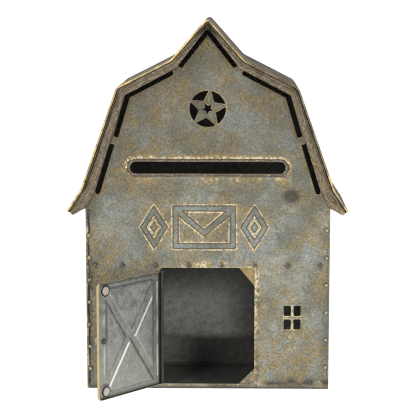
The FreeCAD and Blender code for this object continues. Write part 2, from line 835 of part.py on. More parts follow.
def make_side_wall(side, name):
    """A wall with a flange behind the front panel and another before the back panel."""
    body = new_body(f"side_wall_{name}")
    outside = cell("body_width") / 2
    inside = outside - cell("sheet")
    flange = outside - cell("flange_width")
    front = -(cell("body_depth") - cell("sheet"))
    back = -cell("sheet")
    profile = [
        (outside, front),
        (outside, back),
        (flange, back),
        (flange, back - cell("sheet")),
        (inside, back - cell("sheet")),
        (inside, front + cell("sheet")),
        (flange, front + cell("sheet")),
        (flange, front),
    ]
    if side < 0:
        profile = mirrored(profile)
    section = add_sketch(body, f"wall_section_{name}", "XY_Plane", up(cell("sheet")))
    add_polygon(section, profile)
    pad(body, section, cell("wall_top") - cell("sheet"), backward=False)

    notch = add_sketch(body, f"wall_notch_{name}", offset=cell("body_depth"))
    corners = rectangle(
        flange - cell("sheet"), inside, up(cell("shoulder_height")), up(cell("apex_height"))
    )
    add_polygon(notch, corners if side > 0 else mirrored(corners))
    pocket(body, notch, cell("body_depth"))

    holes = add_sketch(body, f"wall_rivet_holes_{name}", offset=cell("body_depth"))
    left, right, _, ends = rivet_places()
    for place in (right + ends[1:]) if side > 0 else (left + ends[:1]):
        add_circle(holes, place, cell("rivet_hole"))
    pocket(body, holes, cell("sheet") * 3)


def make_floor_pan():
    """The floor, with a short upstand behind the front panel."""
    body = new_body("floor_pan")
    half = cell("body_width") / 2
    front = -(cell("body_depth") - cell("sheet"))
    plate = add_sketch(body, "floor_plate", "XY_Plane", up(0))
    add_polygon(plate, rectangle(-half, half, front, -cell("sheet")))
    pad(body, plate, cell("sheet"), backward=False)
    lip = add_sketch(body, "floor_lip", "XY_Plane", up(cell("sheet")))
    reach = half - cell("flange_width") - cell("fit_gap")
    add_polygon(lip, rectangle(-reach, reach, front, front + cell("sheet")))
    pad(body, lip, cell("front_lip"), backward=False)


def make_back_panel():
    """The gable-shaped back, with keyholes, lower screw holes and a flange on the floor."""
    body = new_body("back_panel")
    half = cell("body_width") / 2
    corners = inset_corners(roof_corners(), cell("sheet") + cell("fit_gap"))
    under_roof = corners[2:-2]
    side = [(half, up(0)), (half, up(cell("wall_top") - cell("sheet")))]
    plate = add_sketch(body, "back_plate", offset=cell("sheet"))
    add_polygon(plate, side + under_roof + mirrored(side))
    pad(body, plate, cell("sheet"))
    lower = [under_roof[0], under_roof[-1]]
    fillet(body, "back_corners", cell("lower_kink_radius"), runs_through(lower))
    ridge = [under_roof[len(under_roof) // 2]]
    fillet(body, "back_ridge", cell("ridge_radius") * BACK_RIDGE, runs_through(ridge))

    flange = add_sketch(body, "back_flange", "XY_Plane", up(cell("sheet")))
    reach = half - cell("flange_width") - cell("fit_gap")
    front = -(cell("back_flange") + cell("sheet"))
    add_polygon(flange, rectangle(-reach, reach, front, -cell("sheet")))
    pad(body, flange, cell("sheet"), backward=False)

    rounds = add_sketch(body, "round_holes", offset=cell("sheet"))
    necks = add_sketch(body, "keyhole_necks", offset=cell("sheet"))
    tops = add_sketch(body, "keyhole_tops", offset=cell("sheet"))
    for sign in (-1, 1):
        keyhole_x = cell("keyhole_spacing") * (sign / 2)
        add_circle(rounds, (keyhole_x, as_size(0)), cell("keyhole_radius"))
        screw_x = cell("screw_hole_spacing") * (sign / 2)
        add_circle(rounds, (screw_x, up(cell("screw_hole_height"))), cell("screw_hole_radius"))
        neck = cell("keyhole_slot") / 2
        rise = cell("keyhole_rise")
        add_polygon(necks, rectangle(keyhole_x - neck, keyhole_x + neck, as_size(0), rise))
        add_circle(tops, (keyhole_x, rise), neck)
    for sketch in (rounds, necks, tops):
        pocket(body, sketch, cell("sheet") * 2)


def make_header_strap():
    """A strap behind the row of rivets over the door opening."""
    body = new_body("header_strap")
    reach = cell("body_width") / 2 - cell("flange_width") - cell("fit_gap")
    bottom = up(cell("door_head") + cell("fit_gap"))
    behind = cell("body_depth") - cell("sheet")
    plate = add_sketch(body, "strap_plate", offset=behind)
    add_polygon(plate, rectangle(-reach, reach, bottom, bottom + cell("strap_height")))
    pad(body, plate, cell("sheet"))
    holes = add_sketch(body, "strap_rivet_holes", offset=behind)
    for place in rivet_places()[2]:
        add_circle(holes, place, cell("rivet_hole"))
    pocket(body, holes, cell("sheet") * 2)


def make_rivets(label, places):
    """A group of domed rivets through the front panel and what lies behind it."""
    body = new_body(label)
    face = cell("body_depth")
    stack = cell("sheet") * 2
    front = face + cell("rivet_dome")
    steps = (
        ("head", front, cell("rivet_head"), cell("rivet_dome")),
        ("shank", face, cell("rivet_shank"), stack),
        ("tail", face - stack, cell("rivet_head") * RIVET_TAIL, cell("rivet_tail")),
    )
    for step, offset, radius, length in steps:
        circles = add_sketch(body, f"{label}_{step}", offset=offset)
        for place in places:
            add_circle(circles, place, radius)
        pad(body, circles, length)
        if step == "head":
            fillet(body, f"{label}_dome", cell("rivet_dome") * RIVET_CROWN, faces_front(front))


def make_gussets():
    """Two corner plates behind the opening's free side."""
    behind = cell("body_depth") - cell("sheet")
    right = cell("door_right")
    edge = right + cell("gusset_margin")
    top = up(cell("door_head"))
    bottom = up(cell("door_sill"))
    short = cell("gusset_short")
    tall = cell("gusset_long")
    plates = {
        "strike_gusset_top": [
            (right - short, top),
            (right, top - tall),
            (edge, top - tall),
            (edge, top),
        ],
        "strike_gusset_bottom": [
            (right - short, bottom),
            (edge, bottom),
            (edge, bottom + short),
            (right, bottom + short),
        ],
    }
    for label, corners in plates.items():
        body = new_body(label)
        outline = add_sketch(body, f"{label}_outline", offset=behind)
        add_polygon(outline, corners)
        pad(body, outline, cell("sheet"))


# ---------------------------------------------------------------- hinge


def hinge_y():
    """Y of the hinge axis."""
    return -(cell("body_depth") + cell("hinge_proud"))


def make_frame_leaf():
    """The middle knuckle, with a web back through the opening and a leaf behind the panel."""
    body = new_body("frame_hinge_leaf")
    axis = (cell("hinge_x"), hinge_y())
    length = cell("knuckle_high") - cell("knuckle_low")
    wall = cell("knuckle_radius") - cell("bore_radius")
    web_left = cell("hinge_x") - cell("knuckle_radius")
    leaf_left = -(cell("door_left") + cell("leaf_width"))
    behind = -(cell("body_depth") - cell("sheet"))
    base = up(cell("knuckle_low"))
    outline = [
        (web_left, hinge_y()),
        (web_left + wall, hinge_y()),
        (web_left + wall, behind + cell("sheet")),
        (leaf_left, behind + cell("sheet")),
        (leaf_left, behind + cell("fit_gap") / 2),
        (web_left, behind + cell("fit_gap") / 2),
    ]
    leaf = add_sketch(body, "leaf_section", "XY_Plane", base)
    add_polygon(leaf, outline)
    pad(body, leaf, length, backward=False)
    tube = add_sketch(body, "frame_knuckle", "XY_Plane", base)
    add_circle(tube, axis, cell("knuckle_radius"))
    pad(body, tube, length, backward=False)
    bore = add_sketch(body, "frame_bore", "XY_Plane", base)
    add_circle(bore, axis, cell("bore_radius"))
    pocket(body, bore, length, forward=True)


def make_hinge_pin():
    """The pin, peened over at both ends."""
    low = cell("door_foot")
    length = cell("door_top") - low
    pin = doc.addObject("Part::Cylinder", "hinge_pin")
    pin.Label = "hinge_pin"
    bind(pin, "Radius", cell("pin_radius"))
    bind(pin, "Height", length)
    place = FreeCAD.Vector(cell("hinge_x").value, hinge_y().value, up(low).value)
    pin.Placement = FreeCAD.Placement(place, FreeCAD.Rotation())


def make_door_knuckles(swing):
    """The straps on the door's outer face, rolled round the pin above and below the frame's."""
    spans = {
        "door_knuckle_top": (cell("knuckle_high") + cell("knuckle_gap"), cell("door_top")),
        "door_knuckle_bottom": (cell("door_foot"), cell("knuckle_low") - cell("knuckle_gap")),
    }
    axis = (cell("hinge_x"), hinge_y())
    wall = cell("knuckle_radius") - cell("bore_radius")
    strap_front = hinge_y() - cell("knuckle_radius")
    for label, (low, high) in spans.items():
        body = new_body(label)
        length = high - low
        strap = add_sketch(body, f"{label}_strap", "XY_Plane", up(low))
        end = cell("hinge_x") + cell("strap_width")
        corners = rectangle(cell("hinge_x"), end, strap_front, strap_front + wall)
        add_polygon(strap, corners)
        pad(body, strap, length, backward=False)
        tube = add_sketch(body, f"{label}_tube", "XY_Plane", up(low))
        add_circle(tube, axis, cell("knuckle_radius"))
        pad(body, tube, length, backward=False)
        bore = add_sketch(body, f"{label}_bore", "XY_Plane", up(low))
        add_circle(bore, axis, cell("bore_radius"))
        pocket(body, bore, length, forward=True)
        body.Placement = swing


# ---------------------------------------------------------------- door


def door_swing():
    """The turn about the hinge axis that opens the door."""
    axis = FreeCAD.Vector(cell("hinge_x").value, hinge_y().value, 0)
    turn = FreeCAD.Rotation(FreeCAD.Vector(0, 0, 1), -cell("open_angle").value)
    return FreeCAD.Placement(FreeCAD.Vector(0, 0, 0), turn, axis)


def door_front():
    """Distance of the closed door's outer face from the wall."""
    return cell("body_depth") + cell("door_proud")


def door_points():
    """Places on the closed door: its edges, magnets and knob."""
    free = cell("hinge_x") + cell("door_reach")
    foot = up(cell("door_foot"))
    top = up(cell("door_top"))
    magnet_x = free - cell("magnet_inset")
    return {
        "edges": (cell("hinge_x") + cell("door_start"), free, foot, top),
        "magnet_top": (magnet_x, top - cell("magnet_drop")),
        "magnet_bottom": (magnet_x, foot + cell("magnet_drop")),
        "knob": (free - cell("knob_inset"), (foot + top) / 2),
    }


def door_fields(shrink):
    """The four triangles between the X brace and the rails, drawn in by a margin.

    The level fields reach into the corners; the fields beside the stiles stop short.
    """
    hinge_edge, free, foot, top = door_points()["edges"]
    left = hinge_edge + cell("stile_width")
    right = free - cell("stile_width")
    low = foot + cell("rail_width")
    high = top - cell("rail_width")
    centre_x = (left + right) / 2
    centre_z = (low + high) / 2
    drop = cell("brace_drop")
    lean = math.atan2((right - left).value / 2, (high - low).value / 2 - drop.value)
    wide = cell("brace_width") + shrink
    along_side = wide / math.sin(lean) + shrink / math.tan(lean)
    along_rail = shrink / math.cos(lean) + shrink * math.tan(lean)
    across = (wide - drop * math.sin(lean)) / math.cos(lean)
    rise = drop + shrink / math.sin(lean)
    left_field = [
        (left + shrink, high - along_side),
        (left + shrink, low + along_side),
        (centre_x - across, centre_z),
    ]
    right_field = [
        (right - shrink, low + along_side),
        (right - shrink, high - along_side),
        (centre_x + across, centre_z),
    ]
    low_field = [
        (left + along_rail, low + shrink),
        (right - along_rail, low + shrink),
        (centre_x, centre_z - rise),
    ]
    high_field = [
        (right - along_rail, high - shrink),
        (left + along_rail, high - shrink),
        (centre_x, centre_z + rise),
    ]
    return left_field, right_field, low_field, high_field


def make_door_panel(swing):
    """A pressed sheet: turned edge, raised rails and X brace, four sunk fields."""
    body = new_body("door_panel")
    points = door_points()
    hinge_edge, free, foot, top = points["edges"]
    thickness = cell("door_thickness")
    wall = cell("sheet")
    front = door_front()
    inner = front - wall
    outline = add_sketch(body, "door_outline", offset=front)
    add_polygon(outline, rectangle(hinge_edge, free, foot, top))
    pad(body, outline, thickness)
    free_corners = [(free, foot), (free, top)]
    fillet(body, "door_free_corners", cell("door_corner"), runs_through(free_corners))
    hollow = add_sketch(body, "door_hollow", offset=front - thickness)
    sides = (hinge_edge + wall, free - wall, foot + wall, top - wall)
    add_round_rectangle(hollow, *sides, cell("door_corner") - wall)
    pocket(body, hollow, thickness - wall, forward=True)

    fields = add_sketch(body, "door_fields", offset=inner)
    for corners in door_fields(as_size(0)):
        add_polygon(fields, corners)
    pad(body, fields, cell("rail_depth"))
    pads = add_sketch(body, "magnet_pads", offset=inner)
    for place in (points["magnet_top"], points["magnet_bottom"]):
        add_circle(pads, place, cell("magnet_pad"))
    pad(body, pads, cell("rail_depth"))
    sunk = add_sketch(body, "door_sunk_fields", offset=front)
    for corners in door_fields(wall):
        add_polygon(sunk, corners)
    pocket(body, sunk, cell("rail_depth"))
    hole = add_sketch(body, "knob_hole", offset=front)
    add_circle(hole, points["knob"], cell("knob_shank") + cell("fit_gap"))
    pocket(body, hole, wall * 2)
    body.Placement = swing


def make_magnets(swing):
    """A magnet in a steel cup at each free corner."""
    seat = door_front() - cell("sheet") - cell("rail_depth")
    for end in ("top", "bottom"):
        place = door_points()[f"magnet_{end}"]
        cup = new_body(f"magnet_cup_{end}")
        ring = add_sketch(cup, f"cup_ring_{end}", offset=seat)
        add_circle(ring, place, cell("cup_radius"))
        add_circle(ring, place, cell("magnet_radius") + cell("fit_gap"))
        pad(cup, ring, cell("cup_height"))
        cup.Placement = swing
        magnet = new_body(f"door_magnet_{end}")
        disc = add_sketch(magnet, f"magnet_disc_{end}", offset=seat)
        add_circle(disc, place, cell("magnet_radius"))
        pad(magnet, disc, cell("door_thickness") - cell("sheet") - cell("rail_depth"))
        magnet.Placement = swing


def make_knob(swing):
    """A turned knob whose shank is peened over a washer inside the door."""
    place_x, place_z = door_points()["knob"]
    front = door_front()
    inner = cell("sheet")
    tail = inner + cell("washer_height")
    body = new_body("door_knob")
    neck = cell("knob_length") - cell("knob_radius") * KNOB_HEAD
    steps = (
        ("head", front + cell("knob_length"), cell("knob_radius"), cell("knob_length") - neck),
        ("neck", front + neck, cell("knob_neck"), neck),
        ("shank", front, cell("knob_shank"), tail),
        ("tail", front - tail, cell("knob_neck"), cell("washer_height")),
    )
    for step, offset, radius, length in steps:
        circle = add_sketch(body, f"knob_{step}", offset=offset)
        add_circle(circle, (place_x, place_z), radius)
        pad(body, circle, length)
        if step == "head":
            fillet(body, "knob_crown", cell("knob_radius") * KNOB_CROWN, faces_front(offset))
    body.Placement = swing
    washer = new_body("knob_washer")
    ring = add_sketch(washer, "washer_ring", offset=front - inner)
    add_circle(ring, (place_x, place_z), cell("washer_radius"))
    add_circle(ring, (place_x, place_z), cell("knob_shank") + cell("fit_gap"))
    pad(washer, ring, cell("washer_height"))
    washer.Placement = swing


# ---------------------------------------------------------------- the whole box


def sub_parts():
    """Every object that becomes a file: the bodies, and the pieces made without one."""
    kinds = ("PartDesign::Body", "Part::Feature", "Part::Cylinder")
    return [thing for thing in doc.Objects if thing.TypeId in kinds]


def check_and_write():
    """Write each piece, once nothing in the document has failed."""
    doc.recompute()
    for thing in doc.Objects:
        if {"Invalid", "Error"} & set(thing.State):
            raise RuntimeError(f"{thing.Name} failed: {thing.State}")
    parts = sub_parts()
    for part in parts:
        if part.Shape.isNull() or not part.Shape.isValid() or not part.Shape.Solids:
            raise RuntimeError(f"{part.Label} has no valid solid")
    os.makedirs("parts", exist_ok=True)
    for part in parts:
        part.Shape.exportStep(f"parts/{part.Label}.step")
        print(part.Label, len(part.Shape.Solids), round(part.Shape.Volume, 1))


def main():
    """Build the housing, then the door, and write the files."""
    make_front_panel()
    make_letter_slot_bezel()
    make_coves()
    make_edge_trims()
    make_roof()
    make_side_wall(-1, "left")
    make_side_wall(1, "right")
    make_floor_pan()
    make_back_panel()
    make_header_strap()
    left, right, strap, ends = rivet_places()
    make_rivets("side_rivets_left", left)
    make_rivets("side_rivets_right", right)
    make_rivets("header_rivets", strap + ends)
    make_gussets()
    make_frame_leaf()
    make_hinge_pin()
    swing = door_swing()
    make_door_knuckles(swing)
    make_door_panel(swing)
    make_magnets(swing)
    make_knob(swing)
    check_and_write()


main()
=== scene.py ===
"""Looks of the barn-shaped wall mailbox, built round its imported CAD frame.

Outlines are given in millimetres as (x, height above the base); meshes are in metres.
"""

import math
import random

import bmesh
import bpy
import numpy as np
from mathutils import Matrix, Vector
from mathutils.geometry import delaunay_2d_cdt


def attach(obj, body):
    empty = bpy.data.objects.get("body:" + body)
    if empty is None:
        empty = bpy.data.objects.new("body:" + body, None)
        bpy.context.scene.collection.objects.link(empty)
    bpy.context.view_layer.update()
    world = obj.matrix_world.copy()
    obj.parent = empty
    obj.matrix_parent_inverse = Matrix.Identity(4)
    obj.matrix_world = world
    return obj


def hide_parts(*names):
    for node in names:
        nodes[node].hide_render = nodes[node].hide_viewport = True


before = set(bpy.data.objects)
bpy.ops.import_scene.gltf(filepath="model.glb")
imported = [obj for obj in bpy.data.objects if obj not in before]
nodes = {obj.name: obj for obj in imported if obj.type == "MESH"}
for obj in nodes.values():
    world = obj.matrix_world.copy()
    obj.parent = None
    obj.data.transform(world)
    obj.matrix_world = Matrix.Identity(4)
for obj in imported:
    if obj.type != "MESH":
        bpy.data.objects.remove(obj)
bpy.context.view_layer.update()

MM = 0.001
HANG_HEIGHT = 250.0  # the frame's Z = 0, counted from the base
SHEET = 0.8
FACE_Y = -105.0  # the front panel's outside
ROOF_Y = -122.6  # the roof's front edge
HALF_BODY = 121.7
BODY_TOP = 183  # where the coves begin

# The roof's outside, and the crease where the coves leave the panel; a radius below zero bends the other way.
ROOF_CORNERS = [(138.4, 184.2), (124.6, 205), (88.9, 305.2), (35.8, 332.2), (0, 372.8)]
ROOF_RADII = [0, -20, 10, -12, 4]
CREASE_CORNERS = [(121.7, 183.5), (111.5, 203), (82.2, 296), (31.2, 323.1), (0, 362.8)]
CREASE_RADII = [0, 4, 4, 4, 4]

# Openings in the front panel.
VENT_HALF = 2.25
VENT_OVERCUT = 0.6  # how much wider the slots are on their outer side
STRAIGHT_VENT = [(109.1, 200.6), (94.5, 248.2)]
BENT_VENT = [(90.8, 255.2), (78.7, 295.7), (36.2, 317.9)]
RIDGE_VENT = [(26, 326), (0, 359), (-26, 326)]
SLOT_CENTRE = (0, 224.8)
SLOT_SIZE = (154, 11.5)
BEZEL_WIDTH = 2.8
STAR_CENTRE = (0, 283.2)
STAR_RADIUS = 18
STAR_NOTCH = 8.8
STAR_HOLE = 6
STAR_HOLE_NOTCH = 2.9
STAR_STEP = 72  # degrees from tip to tip
STAR_LEAN = 7.5  # degrees
STAR_NECK = 4.0  # degrees of the ring left whole on each side of a tip
RADIAN = 57.3  # in degrees
WINDOW_CENTRE = (84.7, 73.5)
PANE = (7.3, 10.3)
MUNTIN = (2.4, 3.4)
OPENING = (-47.9, 47, 5, 124)  # left, right, low, high

# The pressed motif: an envelope between two lozenges.
MOTIF_CENTRE = (-3.5, 165)
MOTIF_RELIEF = 0.5
ENVELOPE = (62, 43)
ENVELOPE_LINE = 5
LOZENGE = (27, 43)
LOZENGE_OFFSET = 50

LEFT_RIVETS = [(-118.5, 20.3 + 22.7 * i) for i in range(7)]
RIGHT_RIVETS = [(118.5, 22.8 + 27.9 * i) for i in range(6)]
HEADER_RIVETS = [(-85 + 33 * i, 126.6) for i in range(6)] + [(-112.4, 126.6), (112.4, 126.6)]

# The door, as it is when shut.
HINGE = (-45.7, -106.45)
OPEN_ANGLE = 130
DOOR_EDGES = (-43.8, 46.0, 5.8, 121.2)  # left, right, low, high
DOOR_FACE_Y = -107.4
DOOR_CORNER = 4.0
DOOR_PRESS = 1.4
STILE = 12.2
RAIL = 7.0
BRACE = 7.5
BRACE_DROP = 4.0
KNOB = (37.0, 63.5)
KNOB_LENGTH = 10.0
MAGNETS = [(36.0, 113.2), (36.0, 13.8)]


# ---------------------------------------------------------------- outlines in the plane


def mirrored(points):
    return [(-x, height) for x, height in reversed(points)]


def inset_line(corners, inset):
    """The corners of an open line moved to its left by a distance."""
    moved = []
    for index, corner in enumerate(corners):
        normals = []
        for first, second in ((index - 1, index), (index, index + 1)):
            if 0 <= first and second < len(corners):
                run = Vector(corners[second]) - Vector(corners[first])
                run.normalize()
                normals.append(Vector((-run.y, run.x)))
        shift = normals[0]
        if len(normals) == 2:
            middle = normals[0] + normals[1]
            shift = middle * (2 / middle.dot(middle))
        moved.append(tuple(Vector(corner) + shift * inset))
    return moved


def bends(corners, radii, divisions=8):
    """For each corner, the points of its bend; the ends are single points."""
    groups = [[Vector(corners[0])]]
    for index in range(1, len(corners) - 1):
        corner = Vector(corners[index])
        back = (Vector(corners[index - 1]) - corner).normalized()
        ahead = (Vector(corners[index + 1]) - corner).normalized()
        half = back.angle(ahead) / 2
        inward = (back + ahead).normalized()
        radius = abs(radii[index])
        centre = corner + inward * (radius / math.sin(half))
        side = math.copysign(1, back.y * ahead.x - back.x * ahead.y)
        bend = []
        for step in range(divisions + 1):
            turn = side * (math.pi / 2 - half) * (2 * step / divisions - 1)
            spoke = Matrix.Rotation(turn, 2) @ inward
            bend.append(centre - spoke * radius)
        groups.append(bend)
    groups.append([Vector(corners[-1])])
    return groups


def half_line(corners, radii, inset=0.0):
    """From the right end of a symmetric line to the top of its middle bend."""
    full = list(corners) + mirrored(corners[:-1])
    sizes = list(radii) + list(radii[:-1])[::-1]
    full = inset_line(full, inset)
    sizes = [abs(radius - inset) if radius else 0 for radius in sizes]
    groups = bends(full, sizes)
    middle = len(corners) - 1
    points = sum(groups[:middle], []) + groups[middle][:5]
    return np.array([tuple(p) for p in points])


def whole_line(half):
    """A half line followed by its mirror image."""
    other = half[::-1][1:] * np.array([-1.0, 1.0])
    return np.vstack([half, other])


def spread(lines, step):
    """Matched lines with extra points, so that no stretch is longer than a step."""
    lengths = np.max([np.linalg.norm(np.diff(line, axis=0), axis=1) for line in lines], axis=0)
    stops = []
    for index, length in enumerate(lengths):
        count = max(1, math.ceil(length / step))
        stops.extend(index + k / count for k in range(count))
    stops.append(len(lengths))
    stops = np.array(stops)
    low = np.minimum(stops.astype(int), len(lengths) - 1)
    share = (stops - low)[:, None]
    return [line[low] * (1 - share) + line[low + 1] * share for line in lines]


def arc(centre, radius, start, end, count):
    angles = np.radians(np.linspace(start, end, count))
    return [(centre[0] + radius * math.cos(a), centre[1] + radius * math.sin(a)) for a in angles]


def stadium(centre, length, height, count):
    half = height / 2
    reach = length / 2 - half
    right = arc((centre[0] + reach, centre[1]), half, -90, 90, count)
    left = arc((centre[0] - reach, centre[1]), half, 90, 270, count)
    return right + left


def round_box(left, right, low, high, radii, count=7):
    """Corners anticlockwise from the lower right; radii in the same order."""
    places = ((right, low, -90), (right, high, 0), (left, high, 90), (left, low, 180))
    points = []
    for (x, z, start), radius in zip(places, radii):
        if radius == 0:
            points.append((x, z))
            continue
        cx = x - radius if x == right else x + radius
        cz = z - radius if z == high else z + radius
        points += arc((cx, cz), radius, start, start + 90, count)
    return points


def vent_loop(line, round_first, round_last):
    """A slot along a bent line, anticlockwise, with round or square ends."""
    inner = inset_line(line, VENT_HALF)
    outer = inset_line(line, -(VENT_HALF + VENT_OVERCUT))
    loop = list(outer)
    if round_last:
        loop += end_arc(outer[-1], inner[-1])
    loop += inner[::-1]
    if round_first:
        loop += end_arc(inner[0], outer[0])
    return loop


def end_arc(start, end):
    """Points of the half circle that goes anticlockwise from one point to another."""
    middle = (Vector(start) + Vector(end)) / 2
    radius = (Vector(start) - Vector(end)).length / 2
    angle = math.degrees(math.atan2(start[1] - middle.y, start[0] - middle.x))
    return arc(tuple(middle), radius, angle, angle + 180, 10)[1:-1]


def resampled(loop, step):
    """A closed outline with points at most a step apart."""
    points = np.array(loop, float)
    keep = np.linalg.norm(points - np.roll(points, 1, axis=0), axis=1) > 1e-6
    points = points[keep]
    result = []
    for here, there in zip(points, np.roll(points, -1, axis=0)):
        count = max(1, math.ceil(np.linalg.norm(there - here) / step))
        for k in range(count):
            result.append(here + (there - here) * k / count)
    return np.array(result)


def edge_distance(points, loop):
    """Distance from each point to a closed outline."""
    loop = np.asarray(loop, float)
    best = np.full(len(points), 1e9)
    for start, end in zip(loop, np.roll(loop, -1, axis=0)):
        run = end - start
        size = run @ run
        if size < 1e-12:
            continue
        share = np.clip(((points - start) @ run) / size, 0, 1)
        gap = points - start - share[:, None] * run
        best = np.minimum(best, (gap * gap).sum(1))
    return np.sqrt(best)


def inside(points, loop):
    """True for each point within a closed outline."""
    loop = np.asarray(loop, float)
    found = np.zeros(len(points), bool)
    x, z = points[:, 0], points[:, 1]
    for (x0, z0), (x1, z1) in zip(loop, np.roll(loop, -1, axis=0)):
        if z0 == z1:
            continue
        crosses = (z0 > z) != (z1 > z)
        found ^= crosses & (x < (x1 - x0) * (z - z0) / (z1 - z0) + x0)
    return found


def signed_distance(points, loop):
    """Negative within the outline."""
    distance = edge_distance(points, loop)
    return np.where(inside(points, loop), -distance, distance)


def nearest(points, loops, measure=edge_distance):
    """Distance from each point to the closest of several outlines."""
    return np.min([measure(points, loop) for loop in loops], axis=0)


def filled(points, outline, holes):
    """True for each point within an outline and outside all its holes."""
    found = inside(points, outline)
    for loop in holes:
        found &= ~inside(points, loop)
    return found


def smooth(value, low, high):
    """From 0 up to 1 as a value rises."""
    share = np.clip((value - low) / (high - low), 0, 1)
    return share * share * (3 - 2 * share)


def falls(value, low, high):
    """From 1 down to 0 as a value rises."""
    return 1 - smooth(value, low, high)


def bell(value, width):
    """1 at zero, falling off evenly on both sides."""
    return np.exp(-((value / width) ** 2))


HASH_X, HASH_Z, HASH_SEED = 73856093, 19349663, 83492791
LARGEST = 2**31 - 1


def rough(points, size, seed):
    """Smooth random values between -1 and 1 that change over a size in millimetres."""
    places = np.asarray(points, float) / size + seed * 17.31
    cells = np.floor(places).astype(np.int64)
    share = places - cells
    share = share * share * (3 - 2 * share)
    total = np.zeros(len(places))
    for dx in (0, 1):
        for dz in (0, 1):
            mixed = (cells[:, 0] + dx) * HASH_X ^ (cells[:, 1] + dz) * HASH_Z ^ seed * HASH_SEED
            mixed = (mixed & LARGEST) * 48271 % LARGEST
            mixed = (mixed ^ (mixed >> 13)) * 16807 % LARGEST
            weight = np.abs(1 - dx - share[:, 0]) * np.abs(1 - dz - share[:, 1])
            total += weight * (mixed / (LARGEST / 2) - 1)
    return total


def patchy(points, size, seed, low, high):
    """Rough values stepped from 0 to 1 between two levels."""
    return smooth(rough(points, size, seed), low, high)


def on_line(along):
    """Places for rough() that change in one direction only."""
    return np.column_stack([along, np.zeros(len(along))])


def most(*layers):
    """The largest of several values at each point."""
    return np.maximum.reduce(layers)


# ---------------------------------------------------------------- meshes


def make_piece(name, verts, faces, marks, sharp):
    """A mesh object in millimetres with named values at its corners."""
    mesh = bpy.data.meshes.new(name)
    placed = np.asarray(verts, float) * MM
    mesh.from_pydata(placed.tolist(), [], faces)
    for key, values in marks.items():
        attribute = mesh.attributes.new(key, "FLOAT", "POINT")
        attribute.data.foreach_set("value", np.asarray(values, np.float32).ravel())
    mesh.polygons.foreach_set("use_smooth", [True] * len(mesh.polygons))
    mesh.set_sharp_from_angle(angle=math.radians(sharp))
    mesh.validate()
    obj = bpy.data.objects.new(name, mesh)
    bpy.context.scene.collection.objects.link(obj)
    return obj


def make_shell(name, verts, faces, marks, sharp, weld=0.0):
    """A piece whose faces all look outward."""
    obj = make_piece(name, verts, faces, marks, sharp)
    fix_normals(obj, weld)
    return obj


def flat_net(outline, holes, step, fine=(), rings=(0.3, 0.8), edge_step=1.2):
    """Points and triangles that fill an outline around its holes.

    fine holds (left, right, low, high, step) areas with a closer grid.
    """
    drawn = [np.array(loop, float) for loop in [outline, *holes]]
    loops = [resampled(loop, edge_step) for loop in drawn]
    low, high = loops[0].min(0), loops[0].max(0)
    grids = [(low[0], high[0], low[1], high[1], step), *fine]
    inner = []
    for index, (left, right, bottom, top, pitch) in enumerate(grids):
        xs = np.arange(left + pitch / 2, right, pitch)
        zs = np.arange(bottom + pitch / 2, top, pitch)
        grid = np.array(np.meshgrid(xs, zs)).reshape(2, -1).T
        for other in grids[index + 1 :]:
            within = (grid[:, 0] > other[0]) & (grid[:, 0] < other[1])
            within &= (grid[:, 1] > other[2]) & (grid[:, 1] < other[3])
            grid = grid[~within]
        inner.append((grid, max(rings, default=0) + pitch * 0.3))
    for loop in loops:
        normal = np.roll(loop, -1, axis=0) - np.roll(loop, 1, axis=0)
        normal = normal[:, ::-1] * np.array([-1.0, 1.0])
        normal /= np.linalg.norm(normal, axis=1)[:, None]
        for ring in rings:
            inner += [(loop + normal * ring, ring * 0.85), (loop - normal * ring, ring * 0.85)]
    kept = []
    for points, gap in inner:
        points = points[filled(points, drawn[0], drawn[1:])]
        if len(points):
            kept.append(points[nearest(points, drawn) > gap])
    verts, edges = [], []
    for loop in loops:
        first = len(verts)
        verts.extend(map(tuple, loop))
        edges.extend((first + k, first + (k + 1) % len(loop)) for k in range(len(loop)))
    verts.extend(map(tuple, np.vstack(kept)))
    made = delaunay_2d_cdt([Vector(v) for v in verts], edges, [], 0, 1e-4)
    points = np.array([tuple(v) for v in made[0]])
    triangles = np.array([f for f in made[2] if len(f) == 3])
    triangles = triangles[filled(points[triangles].mean(1), drawn[0], drawn[1:])]
    used = np.unique(triangles)
    renumber = np.full(len(points), -1)
    renumber[used] = np.arange(len(used))
    return points[used], renumber[triangles]


def solid_sheet(front, back, triangles):
    """Closes two matched layers along their free edges; faces of the front look at -Y."""
    corners = triangles
    a, b, c = (front[corners[:, k]] for k in range(3))
    facing = np.cross(b - a, c - a)[:, 1]
    corners = np.where((facing > 0)[:, None], corners[:, ::-1], corners)
    count = len(front)
    sides = np.vstack([corners[:, [0, 1]], corners[:, [1, 2]], corners[:, [2, 0]]])
    known = {(int(i), int(j)) for i, j in sides}
    faces = corners.tolist() + (corners[:, ::-1] + count).tolist()
    for i, j in known:
        if (j, i) not in known:
            faces.append([j, i, i + count, j + count])
    return np.vstack([front, back]), faces


def sheet_triangles(rows, columns):
    """Two triangles for each cell of an open grid."""
    triangles = []
    for u in range(rows - 1):
        for v in range(columns - 1):
            a = u * columns + v
            triangles += [(a, a + 1, a + columns + 1), (a, a + columns + 1, a + columns)]
    return np.array(triangles)


def ring_faces(rows, columns, closed=False, first=0):
    """Four-sided faces between rings of points; closed joins the last ring to the first."""
    faces = []
    for u in range(rows if closed else rows - 1):
        here, there = first + u * columns, first + (u + 1) % rows * columns
        for v in range(columns):
            w = (v + 1) % columns
            faces.append([here + v, here + w, there + w, there + v])
    return faces


def grid_of(x, y, height):
    """Points in the frame's millimetres from three matched or repeated arrays."""
    return np.stack(np.broadcast_arrays(x, y, height - HANG_HEIGHT), axis=2)


def section_values(section, index, rows):
    """One column of a section's table, repeated along its sweep."""
    return np.tile([row[index] for row in section], (rows, 1))


